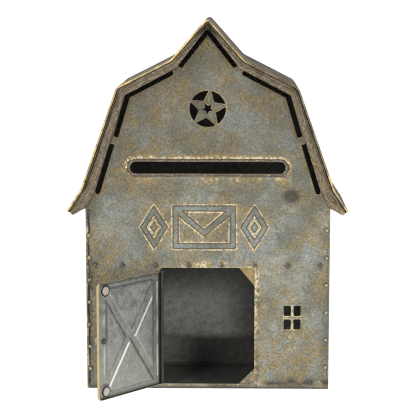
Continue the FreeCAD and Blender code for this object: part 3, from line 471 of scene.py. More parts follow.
def ring_grid(loops, ys, step):
    """Matched points of closed outlines, each at its own Y; the last row repeats the first."""
    lines = spread([np.array(loop + loop[:1]) for loop in loops], step)
    return np.stack([in_space(line, y) for line, y in zip(lines, ys)], axis=1)


def hidden_too(**seen):
    """Marks for a sheet's seen layer, and for the hidden one behind it, which is dark all over."""
    marks = {}
    for key, values in seen.items():
        marks[key] = np.concatenate([values, np.full(len(values), float(key == "grime"))])
    return marks


def fix_normals(obj, weld=0.0):
    """Turns every face outward, after joining corners that lie together."""
    work = bmesh.new()
    work.from_mesh(obj.data)
    if weld:
        bmesh.ops.remove_doubles(work, verts=work.verts, dist=weld * MM)
    bmesh.ops.recalc_face_normals(work, faces=work.faces)
    work.to_mesh(obj.data)
    work.free()


def in_space(points, y):
    """Points of an outline (x, height) at a Y, in the frame's millimetres."""
    points = np.asarray(points, float)
    return np.column_stack([points[:, 0], np.broadcast_to(y, len(points)), points[:, 1] - HANG_HEIGHT])


def opened(points):
    """Points of the closed door turned to where the door stands."""
    angle = -math.radians(OPEN_ANGLE)
    pivot = np.array([*HINGE, 0.0])
    turn = np.array(
        [
            [math.cos(angle), -math.sin(angle), 0],
            [math.sin(angle), math.cos(angle), 0],
            [0, 0, 1],
        ]
    )
    return (np.asarray(points) - pivot) @ turn.T + pivot


# ---------------------------------------------------------------- materials


def srgb(red, green, blue):
    values = [v / 255 for v in (red, green, blue)]
    return tuple(v / 12.92 if v <= 0.04045 else ((v + 0.055) / 1.055) ** 2.4 for v in values) + (1.0,)


class Paint:
    """Builds one node material over the piece's own coordinates in millimetres."""

    def __init__(self, name, **shader_values):
        self.material = bpy.data.materials.new(name)
        self.material.use_nodes = True
        self.nodes = self.material.node_tree.nodes
        self.links = self.material.node_tree.links
        self.shader = self.nodes["Principled BSDF"]
        self.fill(self.shader, **shader_values)
        own = self.nodes.new("ShaderNodeTexCoord").outputs["Object"]
        self.place = self.add("Mapping", Scale=(1 / MM, 1 / MM, 1 / MM), Vector=own).outputs["Vector"]

    def put(self, value, socket):
        if isinstance(value, bpy.types.NodeSocket):
            self.links.new(value, socket)
        else:
            socket.default_value = value

    def fill(self, node, **values):
        """Sets or links a node's inputs by name, with _ for a space."""
        for key, value in values.items():
            self.put(value, node.inputs[key.replace("_", " ")])
        return node

    def add(self, kind, **values):
        return self.fill(self.nodes.new("ShaderNode" + kind), **values)

    def noise(self, size, detail=3.0, roughness=0.55, stretch=None, distortion=0.0):
        """Cloudy values round one half, over features of a size in millimetres."""
        place = self.place
        if stretch:
            place = self.add("Mapping", Scale=stretch, Vector=place).outputs["Vector"]
        look = {"Detail": detail, "Roughness": roughness, "Distortion": distortion}
        return self.add("TexNoise", Scale=1 / size, Vector=place, **look).outputs["Fac"]

    def streaks(self, length, width):
        """Cloudy values drawn out along a swept piece, from its own marks."""
        along = self.math("DIVIDE", self.mark("along"), length)
        inward = self.math("DIVIDE", self.mark("inward"), width)
        flat = self.add("CombineXYZ", X=along, Y=inward).outputs[0]
        return self.add("TexNoise", Scale=1.0, Detail=3.0, Vector=flat).outputs["Fac"]

    def window(self, value, low, high, out_low=0.0, out_high=1.0):
        """A smooth step from one level to another as a value rises."""
        steps = {"From_Min": low, "From_Max": high, "To_Min": out_low, "To_Max": out_high}
        node = self.add("MapRange", Value=value, **steps)
        node.interpolation_type = "SMOOTHSTEP"
        return node.outputs["Result"]

    def patches(self, levels, *sizes, **look):
        """Noise as in noise(), stepped between levels as in window()."""
        return self.window(self.noise(*sizes, **look), *levels)

    def math(self, operation, first, second=0.5, clamp=False):
        node = self.nodes.new("ShaderNodeMath")
        node.operation = operation
        node.use_clamp = clamp
        self.put(first, node.inputs[0])
        self.put(second, node.inputs[1])
        return node.outputs[0]

    def times(self, first, second, clamp=False):
        return self.math("MULTIPLY", first, second, clamp)

    def mix(self, share, first, second, blend="MIX"):
        node = self.nodes.new("ShaderNodeMix")
        node.data_type = "RGBA"
        node.blend_type = blend
        self.put(share, node.inputs[0])
        self.put(first, node.inputs[6])
        self.put(second, node.inputs[7])
        return node.outputs[2]

    def lay(self, share, colour):
        """Covers a share of what is there with a colour."""
        self.base = self.mix(share, self.base, colour)

    def shade(self, factor):
        self.base = self.mix(1.0, self.base, factor, "MULTIPLY")

    def mark(self, name):
        """One of the mesh's own values."""
        node = self.nodes.new("ShaderNodeAttribute")
        node.attribute_name = name
        return node.outputs["Fac"]

    def axis(self, index):
        return self.add("SeparateXYZ", Vector=self.place).outputs[index]

    def bump(self, height, distance, strength=1.0, over=None):
        node = self.add("Bump", Strength=strength, Distance=distance * MM, Height=height)
        if over is not None:
            self.put(over, node.inputs["Normal"])
        return node.outputs["Normal"]

    def finish(self, roughness, normal):
        self.fill(self.shader, Base_Color=self.base, Roughness=roughness, Normal=normal)
        return self.material


BLUE_GREY = srgb(133, 140, 136)
GREY_GREEN = srgb(103, 107, 99)
PALE_GREY = srgb(162, 166, 158)
OLIVE = srgb(116, 106, 68)
GOLD = srgb(158, 130, 72)
CREAM = srgb(214, 198, 164)
DARK = srgb(44, 40, 33)
PALE_BROWN = srgb(172, 162, 144)


def patina_paint():
    """Galvanised steel gone blue-grey, with ochre speckle, cream wear with painted highlights, dark grime
    with painted shade, and painted shade towards the top.
    """
    paint = Paint("patina_steel", Metallic=0.25)
    paint.base = paint.mix(paint.patches((0.38, 0.62), 38, 4, 0.6), GREY_GREEN, BLUE_GREY)
    pale = paint.patches((0.52, 0.68), 14, 6, 0.7)
    paint.lay(paint.times(pale, 0.6), PALE_GREY)
    keep = paint.math("SUBTRACT", 1.0, paint.mark("clean"), clamp=True)
    patch = paint.patches((0.38, 0.58, 0.25, 1.0), 22, 4, 0.6)
    spread_over = paint.times(patch, keep)
    mottle = paint.patches((0.46, 0.56), 5.0, 5, 0.72, distortion=0.9)
    paint.lay(paint.times(mottle, paint.times(spread_over, 0.8)), OLIVE)
    curl = paint.math("ABSOLUTE", paint.math("SUBTRACT", paint.noise(7.5, 3, 0.6, distortion=1.6), 0.5))
    worms = paint.window(curl, 0.008, 0.03, 1.0, 0.0)
    fine = paint.patches((0.53, 0.58), 2.9, 4, 0.7, distortion=0.8)
    flecks = paint.math("MAXIMUM", worms, fine)
    paint.lay(paint.times(flecks, paint.times(spread_over, 0.78)), GOLD)
    # Painted shade: darker towards the top of the panel, under the roof.
    high = paint.window(paint.axis(2), -125, 5, 0.0, 0.4)
    paint.lay(high, srgb(66, 57, 36))
    # Cream and gold wear, with the painted highlights that the mesh's wear mark also carries.
    worn = paint.mark("worn")
    ragged = paint.patches((0.4, 0.52), 3.6, 5, 0.75)
    rubbed_and_lit = paint.times(worn, ragged, clamp=True)
    bright = paint.math("ADD", worn, paint.patches((0.35, 0.65, -0.45, 0.45), 2.6, 3, 0.7))
    tone = paint.mix(paint.window(bright, 0.55, 1.0), GOLD, CREAM)
    paint.lay(rubbed_and_lit, tone)
    grain = paint.patches((0.34, 0.66, 0.7, 1.27), 1.9, 4, 0.75)
    paint.shade(grain)
    # Dark grime, with painted shade in creases and crevices where the mesh's mark gives it.
    cloud = paint.patches((0.3, 0.52, 0.55, 1.0), 3.5, 4, 0.65)
    paint.lay(paint.times(paint.mark("grime"), cloud, clamp=True), DARK)
    normal = paint.bump(paint.noise(0.9, 3, 0.6), 0.15, 0.4)
    normal = paint.bump(mottle, 0.08, 0.6, normal)
    shine = paint.patches((0.3, 0.7, 0.42, 0.62), 8, 4, 0.6)
    return paint.finish(shine, normal)


def brown_paint(name, *tones, gold=(158, 130, 72), metallic=0.35, fine=1.6, streaks=0.0, specular=0.5):
    """Rough brown oxide with light flecks, and grime and painted shade where the mesh says so."""
    light, mid, dark, gold = (srgb(*tone) for tone in (*tones, gold))
    paint = Paint(name, Metallic=metallic, Specular_IOR_Level=specular)
    paint.base = paint.mix(paint.patches((0.38, 0.62), 12, 4, 0.6), mid, light)
    speckle = paint.patches((0.45, 0.56), fine, 4, 0.75)
    paint.lay(paint.times(speckle, 0.6), dark)
    flecks = paint.patches((0.55, 0.62), 2.4, 4, 0.75)
    paint.lay(paint.times(flecks, 0.7), PALE_BROWN)
    if streaks:
        drawn = paint.streaks(7.0, 0.8)
        paint.lay(paint.window(drawn, 0.56, 0.66, 0.0, streaks), PALE_BROWN)
        paint.lay(paint.window(drawn, 0.34, 0.43, streaks, 0.0), dark)
    broken = paint.patches((0.36, 0.5), 5, 5, 0.75)
    paint.lay(paint.times(paint.mark("worn"), broken, clamp=True), gold)
    faded = paint.patches((0.36, 0.5), 3, 4, 0.7)
    paint.lay(paint.times(paint.mark("pale"), faded, clamp=True), PALE_BROWN)
    # Grime, and painted shade in crevices and grooves, where the mesh gives it.
    paint.lay(paint.mark("grime"), srgb(30, 25, 19))
    normal = paint.bump(paint.noise(fine * 1.3, 5, 0.75), 0.4, 0.8)
    shine = paint.window(speckle, 0, 1, 0.4, 0.65)
    return paint.finish(shine, normal)


def zinc_paint():
    """Clean galvanised sheet: soft grey clouds, faint brush marks, bright rubbed edges, painted highlights,
    and grime with painted shade.
    """
    paint = Paint("door_zinc", Metallic=0.5)
    cloud = paint.noise(9, 5, 0.7)
    paint.base = paint.mix(paint.window(cloud, 0.36, 0.64), srgb(112, 114, 111), srgb(146, 148, 143))
    lower = paint.window(paint.axis(2), -232, -150, 0.5, 0.0)
    paint.lay(lower, srgb(164, 163, 150))
    streaks = paint.noise(1.6, 4, 0.6, stretch=(1, 1, 0.16))
    paint.lay(paint.window(streaks, 0.5, 0.75, 0, 0.35), srgb(168, 169, 162))
    fine = paint.patches((0.36, 0.64, 0.84, 1.14), 1.8, 4, 0.7)
    patina = paint.mix(paint.patches((0.38, 0.62), 20, 4, 0.6), GREY_GREEN, BLUE_GREY)
    flecks = paint.patches((0.48, 0.56, 0.0, 0.75), 3.4, 5, 0.72, distortion=0.9)
    patina = paint.mix(flecks, patina, GOLD)
    paint.lay(paint.mark("pale"), patina)
    paint.shade(fine)
    # Grime, and painted shade in the pressings and the hinge gap.
    paint.lay(paint.mark("grime"), srgb(38, 36, 33))
    paint.lay(paint.mark("worn"), srgb(190, 172, 118))
    # Painted highlight: near-white glints along the brace, the stile and the hinge.
    paint.lay(paint.mark("painted_highlight"), srgb(246, 246, 242))
    normal = paint.bump(paint.noise(2.2, 4, 0.65), 0.12, 0.3)
    roughness = paint.window(cloud, 0.3, 0.7, 0.36, 0.52)
    return paint.finish(roughness, normal)


def plain_paint(name, light, dark, size, metallic, shine, bump=0.15, fleck=None):
    """Two tones in clouds, with fine grain and a few flecks; shine is a range of roughness."""
    paint = Paint(name, Metallic=metallic)
    cloud = paint.noise(size, 5, 0.65)
    paint.base = paint.mix(paint.window(cloud, 0.35, 0.65), srgb(*dark), srgb(*light))
    if fleck:
        grains = paint.patches((0.56, 0.68), size * 0.2, 4, 0.7)
        paint.lay(paint.times(grains, 0.6), srgb(*fleck))
    normal = paint.bump(paint.noise(size * 0.15, 4, 0.7), bump, 0.5)
    return paint.finish(paint.window(cloud, 0.3, 0.7, *shine), normal)


def inside_paint():
    """Dark unfinished inside with dark scuffs; lighter on the back wall and at the lower left as painted
    light from the door opening, fading as painted shade to the right, with a darker floor as painted shade
    and a painted highlight along the floor seam.
    """
    paint = Paint("inside_grey", Metallic=0.2)
    height = paint.axis(2)
    along = paint.axis(0)
    # Painted light: a lighter band across the back wall where light comes in at the door, fading as painted
    # shade towards the right.
    up = paint.window(height, -225, -214)
    down = paint.window(height, -192, -145, 1.0, 0.0)
    across = paint.window(along, 2, 48, 1.0, 0.2)
    band = paint.times(paint.times(up, down), across)
    # Painted light: a glow at the lower left.
    left = paint.window(along, -48, -4, 1.0, 0.0)
    glow = paint.times(left, paint.window(height, -222, -212, 0.65, 0.0))
    cloud = paint.noise(7, 5, 0.75)
    paint.base = paint.mix(paint.window(cloud, 0.35, 0.65), srgb(64, 63, 59), srgb(88, 87, 82))
    lighter = paint.mix(paint.window(cloud, 0.36, 0.62), srgb(160, 160, 153), srgb(198, 198, 190))
    indoors = paint.window(paint.axis(1), -0.6, -0.2, 1.0, 0.0)
    rubbed_and_lit = paint.times(paint.math("MAXIMUM", band, glow), indoors)
    paint.lay(rubbed_and_lit, lighter)
    scuffs = paint.patches((0.63, 0.68, 0.0, 0.7), 5.0, 4, 0.7, stretch=(1.6, 1, 0.4))
    paint.lay(scuffs, srgb(46, 45, 42))
    grain = paint.patches((0.34, 0.66, 0.86, 1.12), 1.6, 3, 0.7)
    paint.shade(grain)
    # Painted shade: the floor is darker.
    floor = paint.window(height, -249.3, -248.6, 0.55, 1.0)
    paint.shade(floor)
    # Painted highlight: a pale line along the floor seam at the left.
    seam = paint.times(paint.window(height, -249.2, -247.6, 1.0, 0.0), left)
    seam = paint.times(seam, paint.window(paint.axis(1), -13, -9))
    paint.lay(paint.times(seam, 0.4), srgb(140, 120, 88))
    normal = paint.bump(paint.noise(1.6, 4, 0.65), 0.2, 0.4)
    return paint.finish(paint.window(cloud, 0.3, 0.7, 0.5, 0.7), normal)


# ---------------------------------------------------------------- front panel


def star_loops():
    """The five openings round the star, and the small star hole."""
    loops = []
    hole = []
    for tip in range(5):
        start = 90 - STAR_LEAN + STAR_STEP * tip
        half = start + STAR_STEP / 2
        end = start + STAR_STEP
        ring = arc(STAR_CENTRE, STAR_RADIUS, start + STAR_NECK, end - STAR_NECK, 12)
        loops.append(ring + arc(STAR_CENTRE, STAR_NOTCH, half, half, 1))
        hole += arc(STAR_CENTRE, STAR_HOLE, half, half, 1)
        hole += arc(STAR_CENTRE, STAR_HOLE_NOTCH, end, end, 1)
    return loops, hole


def slot_loop(outward, count=14):
    """The letter slot's outline, moved outward by a distance."""
    return stadium(SLOT_CENTRE, SLOT_SIZE[0] + 2 * outward, SLOT_SIZE[1] + 2 * outward, count)


def window_loops():
    loops = []
    for across in (-1, 1):
        for rise in (-1, 1):
            x = WINDOW_CENTRE[0] + across * (PANE[0] + MUNTIN[0]) / 2
            z = WINDOW_CENTRE[1] + rise * (PANE[1] + MUNTIN[1]) / 2
            box = (x - PANE[0] / 2, x + PANE[0] / 2, z - PANE[1] / 2, z + PANE[1] / 2)
            loops.append(round_box(*box, [0.9] * 4, 4))
    return loops


def vent_loops():
    right = [vent_loop(STRAIGHT_VENT, True, False), vent_loop(BENT_VENT, False, True)]
    return right + [mirrored(loop) for loop in right] + [vent_loop(RIDGE_VENT, True, True)]


def motif_distance(points):
    """Signed distance to the raised envelope and lozenges, negative on them."""
    x, z = MOTIF_CENTRE
    line = ENVELOPE_LINE
    left, right = x - ENVELOPE[0] / 2, x + ENVELOPE[0] / 2
    low, high = z - ENVELOPE[1] / 2, z + ENVELOPE[1] / 2
    card = signed_distance(points, [(left, low), (right, low), (right, high), (left, high)])
    flap = [(left + line * 1.8, high - line), (x, z - line / 2), (right - line * 1.8, high - line)]
    pocket = [
        (left + line, high - line * 1.8),
        (left + line, low + line),
        (right - line, low + line),
        (right - line, high - line * 1.8),
        (x, z - line * 1.8),
    ]
    for opening in (flap, pocket):
        card = np.maximum(card, -signed_distance(points, opening))
    best = card
    for side in (-1, 1):
        scaled = []
        for scale in (1, 0.6, 0.25):
            w, h = LOZENGE[0] * scale / 2, LOZENGE[1] * scale / 2
            cx = x + side * LOZENGE_OFFSET
            loop = [(cx, z - h), (cx + w, z), (cx, z + h), (cx - w, z)]
            scaled.append(signed_distance(points, loop))
        lozenge = np.minimum(np.maximum(scaled[0], -scaled[1]), scaled[2])
        best = np.minimum(best, lozenge)
    return best


def front_outline():
    """The panel's edge: small round corners at the foot, then the crease."""
    half = half_line(CREASE_CORNERS, CREASE_RADII)
    line = [tuple(p) for p in whole_line(half)]
    foot = round_box(-HALF_BODY, HALF_BODY, 0, 60, [2.5, 0, 0, 2.5], 6)
    right = foot[:6]
    left = foot[-6:]
    return left + right + line


def make_front_panel(material):
    """The flat front, with its relief, its rubbed edges, grime, painted highlights and painted shade, and the
    slight waves of thin sheet.
    """
    stars, star_hole = star_loops()
    windows = window_loops()
    vents = vent_loops()
    opening = round_box(*OPENING, [2, 2, 3.5, 2])
    holes = [*stars, star_hole, *windows, *vents, slot_loop(SHEET), opening]
    x, z = MOTIF_CENTRE
    fine = [
        (x - 66, x + 66, z - 25, z + 25, 0.62),
        (-20, 20, STAR_CENTRE[1] - 20, STAR_CENTRE[1] + 20, 1.0),
        (-HALF_BODY, -HALF_BODY + 6, 0, BODY_TOP + 1, 0.9),
        (HALF_BODY - 6, HALF_BODY, 0, BODY_TOP + 1, 0.9),
        (50, HALF_BODY - 6, 0, 6, 0.9),
    ]
    outline = front_outline()
    points, triangles = flat_net(outline, holes, 2.2, fine)

    far = {
        "outline": edge_distance(points, outline),
        "slot": signed_distance(points, slot_loop(BEZEL_WIDTH)),
        "door": edge_distance(points, opening),
        "star": nearest(points, [*stars, star_hole]),
        "window": nearest(points, windows),
        "vent": nearest(points, vents),
        "motif": motif_distance(points),
    }
    px, pz = points[:, 0], points[:, 1]
    waves = 0.28 * rough(points, 46, 1) + 0.1 * rough(points, 15, 2) + 0.03 * rough(points, 4, 3)
    relief = MOTIF_RELIEF * smooth(-far["motif"], -0.35, 0.85)
    groove = 0.22 * bell(far["motif"] - 0.2, 0.5)
    proud = relief - groove + waves
    hole_edge = np.min([far["door"], far["star"], far["window"], far["vent"]], axis=0)
    proud -= 0.28 * falls(hole_edge, 0, 0.9) + 0.3 * falls(far["outline"], 0, 1.0)
    centre = np.hypot(px - STAR_CENTRE[0], pz - STAR_CENTRE[1])
    angle = np.degrees(np.arctan2(pz - STAR_CENTRE[1], px - STAR_CENTRE[0])) - (90 - STAR_LEAN)
    arm = np.abs((angle + STAR_STEP / 2) % STAR_STEP - STAR_STEP / 2)
    facet = falls(arm * centre / RADIAN, 0, 4.2) * (centre < STAR_RADIUS) * smooth(centre, 5, 8)
    proud += 0.55 * facet

    # Painted shade: a dark ring round the foot of each rivet head.
    rivet_grime = np.zeros(len(points))
    for place in LEFT_RIVETS + RIGHT_RIVETS + HEADER_RIVETS:
        gap = np.hypot(px - place[0], pz - place[1])
        proud -= 0.3 * bell(gap, 3.2)
        rivet_grime = np.maximum(rivet_grime, 0.9 * bell(gap - 2.0, 0.75))

    column = on_line(pz)
    seam_left = -HALF_BODY + 2.7 + 0.9 * rough(column, 11, 4) + 0.3 * rough(column, 3.5, 5)
    seam_right = HALF_BODY - 1.9 + 0.5 * rough(column, 14, 6)
    low_part = pz < BODY_TOP
    crack_left = bell(px - seam_left, 0.95) * low_part
    crack_right = bell(px - seam_right, 0.5) * low_part
    proud += 0.25 * (px < seam_left) * low_part - 0.3 * crack_left - 0.15 * crack_right

    proud -= 0.15 * bell(pz - 3.0, 0.6) * (np.abs(px) < HALF_BODY - 2)

    # Painted highlight: the cream line round the slot is stronger above it.
    above_slot = (pz > SLOT_CENTRE[1]).astype(float)
    off_slot = far["slot"] > 0
    slot_line = bell(far["slot"] - 1.2 - 0.5 * above_slot, 0.95) * off_slot
    slot_glow = bell(far["slot"] - 2, 6.5 - 3.5 * above_slot) * patchy(points, 9, 17, -0.3, 0.4) * off_slot
    breaks = 0.75 + 0.25 * patchy(points, 7, 7, -0.5, 0.1)
    motif_line = bell(far["motif"] - 1.15, 0.6) * (far["motif"] > 0)
    rub = patchy(points, 9, 9, -0.5, 0.4)
    upper = smooth(pz, 40, 75)
    strip_width = 2.8 + 2.8 * upper * rub
    beside_door = (px > 40) * (pz < 128)
    door_head = bell(far["door"], 1.2) * (pz > 120)
    over_door = bell(pz - 129, 8) * smooth(px, -50, -20) * falls(px, 45, 60) * (far["door"] > 0)
    bars = np.maximum(np.abs(px - WINDOW_CENTRE[0]) < 2.6, np.abs(pz - WINDOW_CENTRE[1]) < 3.0)
    under_window = bell(px - WINDOW_CENTRE[0], 7) * smooth(-pz, -62, -52) * smooth(pz, 12, 52)
    # Painted highlight: the star's opening edges are lighter on one side.
    star_lit_side = 0.35 + 0.65 * (np.sin(np.radians(angle + 150)) > 0)
    edge_right = bell(HALF_BODY - px, 3.5) * patchy(column, 13, 12, -0.1, 0.3) * low_part
    left_spot = bell(px + 113.5, 4.5) * bell(pz - 74, 9)
    # Cream and gold wear, with painted highlights: the line above the slot and one side of the star's edges.
    worn = most(
        2.4 * slot_line * breaks * (0.3 + 0.7 * above_slot),
        0.66 * slot_glow,
        2.1 * motif_line * (0.5 + 0.5 * patchy(points, 6, 8, -0.5, 0.3)),
        0.6 * bell(far["motif"] - 1.5, 2.6) * patchy(points, 7, 18, -0.5, 0.3),
        1.2 * bell(far["door"] / strip_width, 1.0) * beside_door * (0.65 + 0.35 * upper),
        0.6 * bell(far["door"], 7) * beside_door * rub,
        0.9 * door_head,
        0.9 * over_door * patchy(points, 8, 10, -0.3, 0.4),
        1.1 * bell(far["window"], 1.3) * bars,
        0.75 * under_window * patchy(points, 5, 11, -0.3, 0.2),
        0.85 * bell(far["star"], 0.8) * star_lit_side,
        0.35 * bell(far["vent"], 1.4),
        (px < seam_left) * low_part * (0.5 + 0.5 * patchy(column, 9, 19, -0.3, 0.3)),
        0.6 * edge_right,
        0.65 * bell(pz - 4.2, 1.0) * (px > -48) * (px < 50),
        0.55 * bell(pz - 6, 5) * (rough(points, 7, 13) > 0.1),
        0.62 * left_spot,
        0.5 * smooth(pz, 330, 350),
    )

    specks = bell(far["door"] - 2.6, 2.0) * beside_door * patchy(points, 2.6, 21, 0.1, 0.5)
    sides = bell(far["outline"], 9) * low_part * patchy(points, 16, 14, -0.5, 0.4)
    # Painted shadow just right of the left seam.
    behind_seam = bell(px - seam_left - 2, 2.5) * low_part * patchy(column, 12, 20, 0.0, 0.5)
    corner = bell(pz - 7, 4.5) * patchy(points, 9, 15, -0.4, 0.3) * smooth(px, 50, 62)
    smudge = np.hypot((px - 83) / 10.5, (pz - 196.5) / 8.5)
    # Stains, specks and grime, with painted shade: dark lines in the seams, the motif's groove, round the
    # slot's rim and the panel's edge, round the rivets, beside the left seam and round the star's openings.
    grime = most(
        rivet_grime,
        1.7 * crack_left * (0.6 + 0.4 * patchy(column, 10, 22, -0.4, 0.1)),
        0.75 * specks,
        0.75 * crack_right,
        0.8 * bell(far["motif"] - 0.1, 0.75),
        0.95 * bell(far["slot"] - 0.1, 0.5),
        0.6 * bell(far["outline"], 0.8),
        0.95 * bell(pz - 0.9, 1.0) * (np.abs(px) < HALF_BODY),
        0.6 * sides,
        0.75 * behind_seam,
        0.95 * corner,
        0.85 * falls(smudge, 0.5, 1.1),
        0.8 * smooth(pz, 346, 360),
        0.35 * bell(far["vent"], 3.0) * (pz > 250) * (px > 0),
        0.4 * bell(hole_edge - 1.2, 2.0) * (centre < STAR_RADIUS),
    )
    clean = most(0.95 * smooth(-far["motif"], 0.2, 0.9), 0.5 * patchy(points, 30, 16, 0.1, 0.6))

    front = in_space(points, FACE_Y - proud)
    back = in_space(points, FACE_Y + SHEET - waves * 0.9)
    verts, faces = solid_sheet(front, back, triangles)
    marks = hidden_too(worn=worn, grime=grime, clean=clean)
    panel = make_piece("front_sheet", verts, faces, marks, 50)
    dress(panel, material, "housing", "patina_steel", "front_panel")


def dress(obj, material, body, slot, *nodes):
    """Gives a piece its finish and ties it to its body and the CAD nodes it replaces."""
    obj.data.materials.append(material)
    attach(obj, body)
    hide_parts(*nodes)


# ---------------------------------------------------------------- roof, coves and trims


def line_length(line):
    """Distance along a line to each of its points."""
    steps = np.linalg.norm(np.diff(line, axis=0), axis=1)
    return np.concatenate([[0], np.cumsum(steps)])


EAVE_DROOP = 5.6  # how far the coves reach past a level edge at the eaves
EAVE_LIP = 0.6  # where across the cove that is


def make_coves(material):
    """Concave flared bands, pitted and crimped along the rim."""
    crease = half_line(CREASE_CORNERS, CREASE_RADII)
    rim = half_line(ROOF_CORNERS, ROOF_RADII, SHEET * 2 + 0.1)
    crease, rim = spread([crease, rim], 1.3)
    along = line_length(rim)
    rows, columns = len(rim), 22
    turn = np.linspace(0, math.pi / 2, columns)
    share, forward = np.sin(turn), 1 - np.cos(turn)
    depth = ROOF_Y - FACE_Y
    width = np.linalg.norm(rim - crease, axis=1)[:, None]
    run = (rim - crease) / width
    flat = crease[:, None, :] + (rim - crease)[:, None, :] * share[None, :, None]
    x, y, height = flat[:, :, 0], FACE_Y + depth * forward[None, :], flat[:, :, 1]
    tangent_flat = np.cos(turn)[None, :] * width
    tangent_y = np.sin(turn)[None, :] * depth
    size = np.hypot(tangent_flat, tangent_y)
    out = np.stack([run[:, None, 0] * tangent_y, -tangent_flat, run[:, None, 1] * tangent_y], axis=2)
    out /= size[:, :, None]

    droop = EAVE_DROOP * smooth(share, 0.02, EAVE_LIP) * np.minimum(1, (1 - share) / (1 - EAVE_LIP))
    end = falls(along, 0, 4)[:, None] * droop[None, :]
    slope = (rim[0] - rim[1]) / np.linalg.norm(rim[0] - rim[1])
    forward_end = (ROOF_Y - y) * (0.45 * end / EAVE_DROOP)
    low = grid_of(x + end * slope[0], y + forward_end, height + end * slope[1])

    height = height.ravel()
    shallow = smooth(height, 268, 300) * falls(height, 340, 352)
    steep = 1 - shallow
    arc_size = np.hypot(np.diff(share)[None, :] * width, np.diff(forward)[None, :] * depth)
    from_rim = ((1 - share)[None, :] * width).ravel()
    track = np.repeat(along, columns)
    place = np.column_stack([track, from_rim])
    fade = smooth(from_rim, 0, 1.5) * smooth(from_crease(arc_size, rows), 0, 2.0)
    # Painted shadow: darker towards the apex, under the overhang.
    apex_shadow = 0.8 * smooth(height, 352, 362)
    triangles = sheet_triangles(rows, columns)
    # Painted shade in the crevice under the rim, stronger on the left than on the right.
    for side, name, seed, crevice_shade in ((1, "right", 20, 0.55), (-1, "left", 30, 1.0)):
        dents = 0.45 * rough(place, 13, seed) + 0.22 * rough(place, 5, seed + 1)
        dents += 0.1 * rough(place, 1.8, seed + 2)
        wander = 0.35 * rough(on_line(track), 20, seed + 3)
        line = bell(from_rim - 2.0 - 0.5 * wander, 0.4) + 0.6 * bell(from_rim - 4.6 + wander, 0.35)
        crevice = bell(from_rim - 1.5 - 0.6 * wander, 0.9) * crevice_shade
        lift = dents * fade - 0.4 * line * shallow
        front = low + out * lift.reshape(rows, columns)[:, :, None]
        back = low - out * SHEET * 0.8
        flip = np.array([side, 1, 1])
        verts, faces = solid_sheet(front.reshape(-1, 3) * flip, back.reshape(-1, 3) * flip, triangles)
        pale = 0.8 * bell(from_rim - 3.2, 0.55) * shallow + 0.7 * bell(from_rim - 3.7 - wander, 0.6) * steep
        # Grime and painted shade: dark crimp grooves, the crevice under the rim and the apex.
        marks = hidden_too(
            grime=most(0.85 * line * shallow, crevice * (0.3 + 0.7 * steep), apex_shadow),
            worn=0.35 * patchy(place, 6, seed + 4, 0.1, 0.6) * smooth(from_rim, 2, 5),
            pale=pale * patchy(place, 9, seed + 5, -0.5, 0.2),
        )
        marks["along"] = np.concatenate([track + seed * 10, track])
        marks["inward"] = np.tile(from_rim, 2)
        cove = make_shell(f"cove_{name}", verts, faces, marks, 50)
        dress(cove, material, "housing", "cove_brown", f"gable_cove_{name}")


def from_crease(arc_size, rows):
    """Distance across the cove from its crease, at each point of the grid."""
    total = np.concatenate([np.zeros((rows, 1)), np.cumsum(arc_size, axis=1)], axis=1)
    return total.ravel()


TRIM_SECTION = [
    # inset from the roof's outside, distance from the wall, gold, grime and painted shade
    (0.0, 122.6, 0.2, 0.5),
    (0.0, 123.6, 0.6, 0.1),
    (0.12, 124.3, 1.0, 0.0),
    (0.5, 124.8, 1.0, 0.0),
    (1.0, 125.0, 1.0, 0.0),
    (1.45, 124.8, 1.0, 0.0),
    (1.75, 124.3, 0.7, 0.1),
    (1.9, 123.5, 0.1, 0.8),
    (2.1, 123.0, 0.0, 1.0),
    (2.5, 123.0, 0.0, 1.0),
    (2.7, 123.5, 0.0, 0.7),
    (2.85, 124.0, 0.15, 0.1),
    (3.1, 124.1, 0.2, 0.1),
    (3.2, 123.4, 0.0, 0.6),
    (3.2, 122.6, 0.0, 1.0),
]
TRIM_WIDTH = 3.2
TRIM_FLAT = 123.0  # from here on the trim is rounded, and wavers


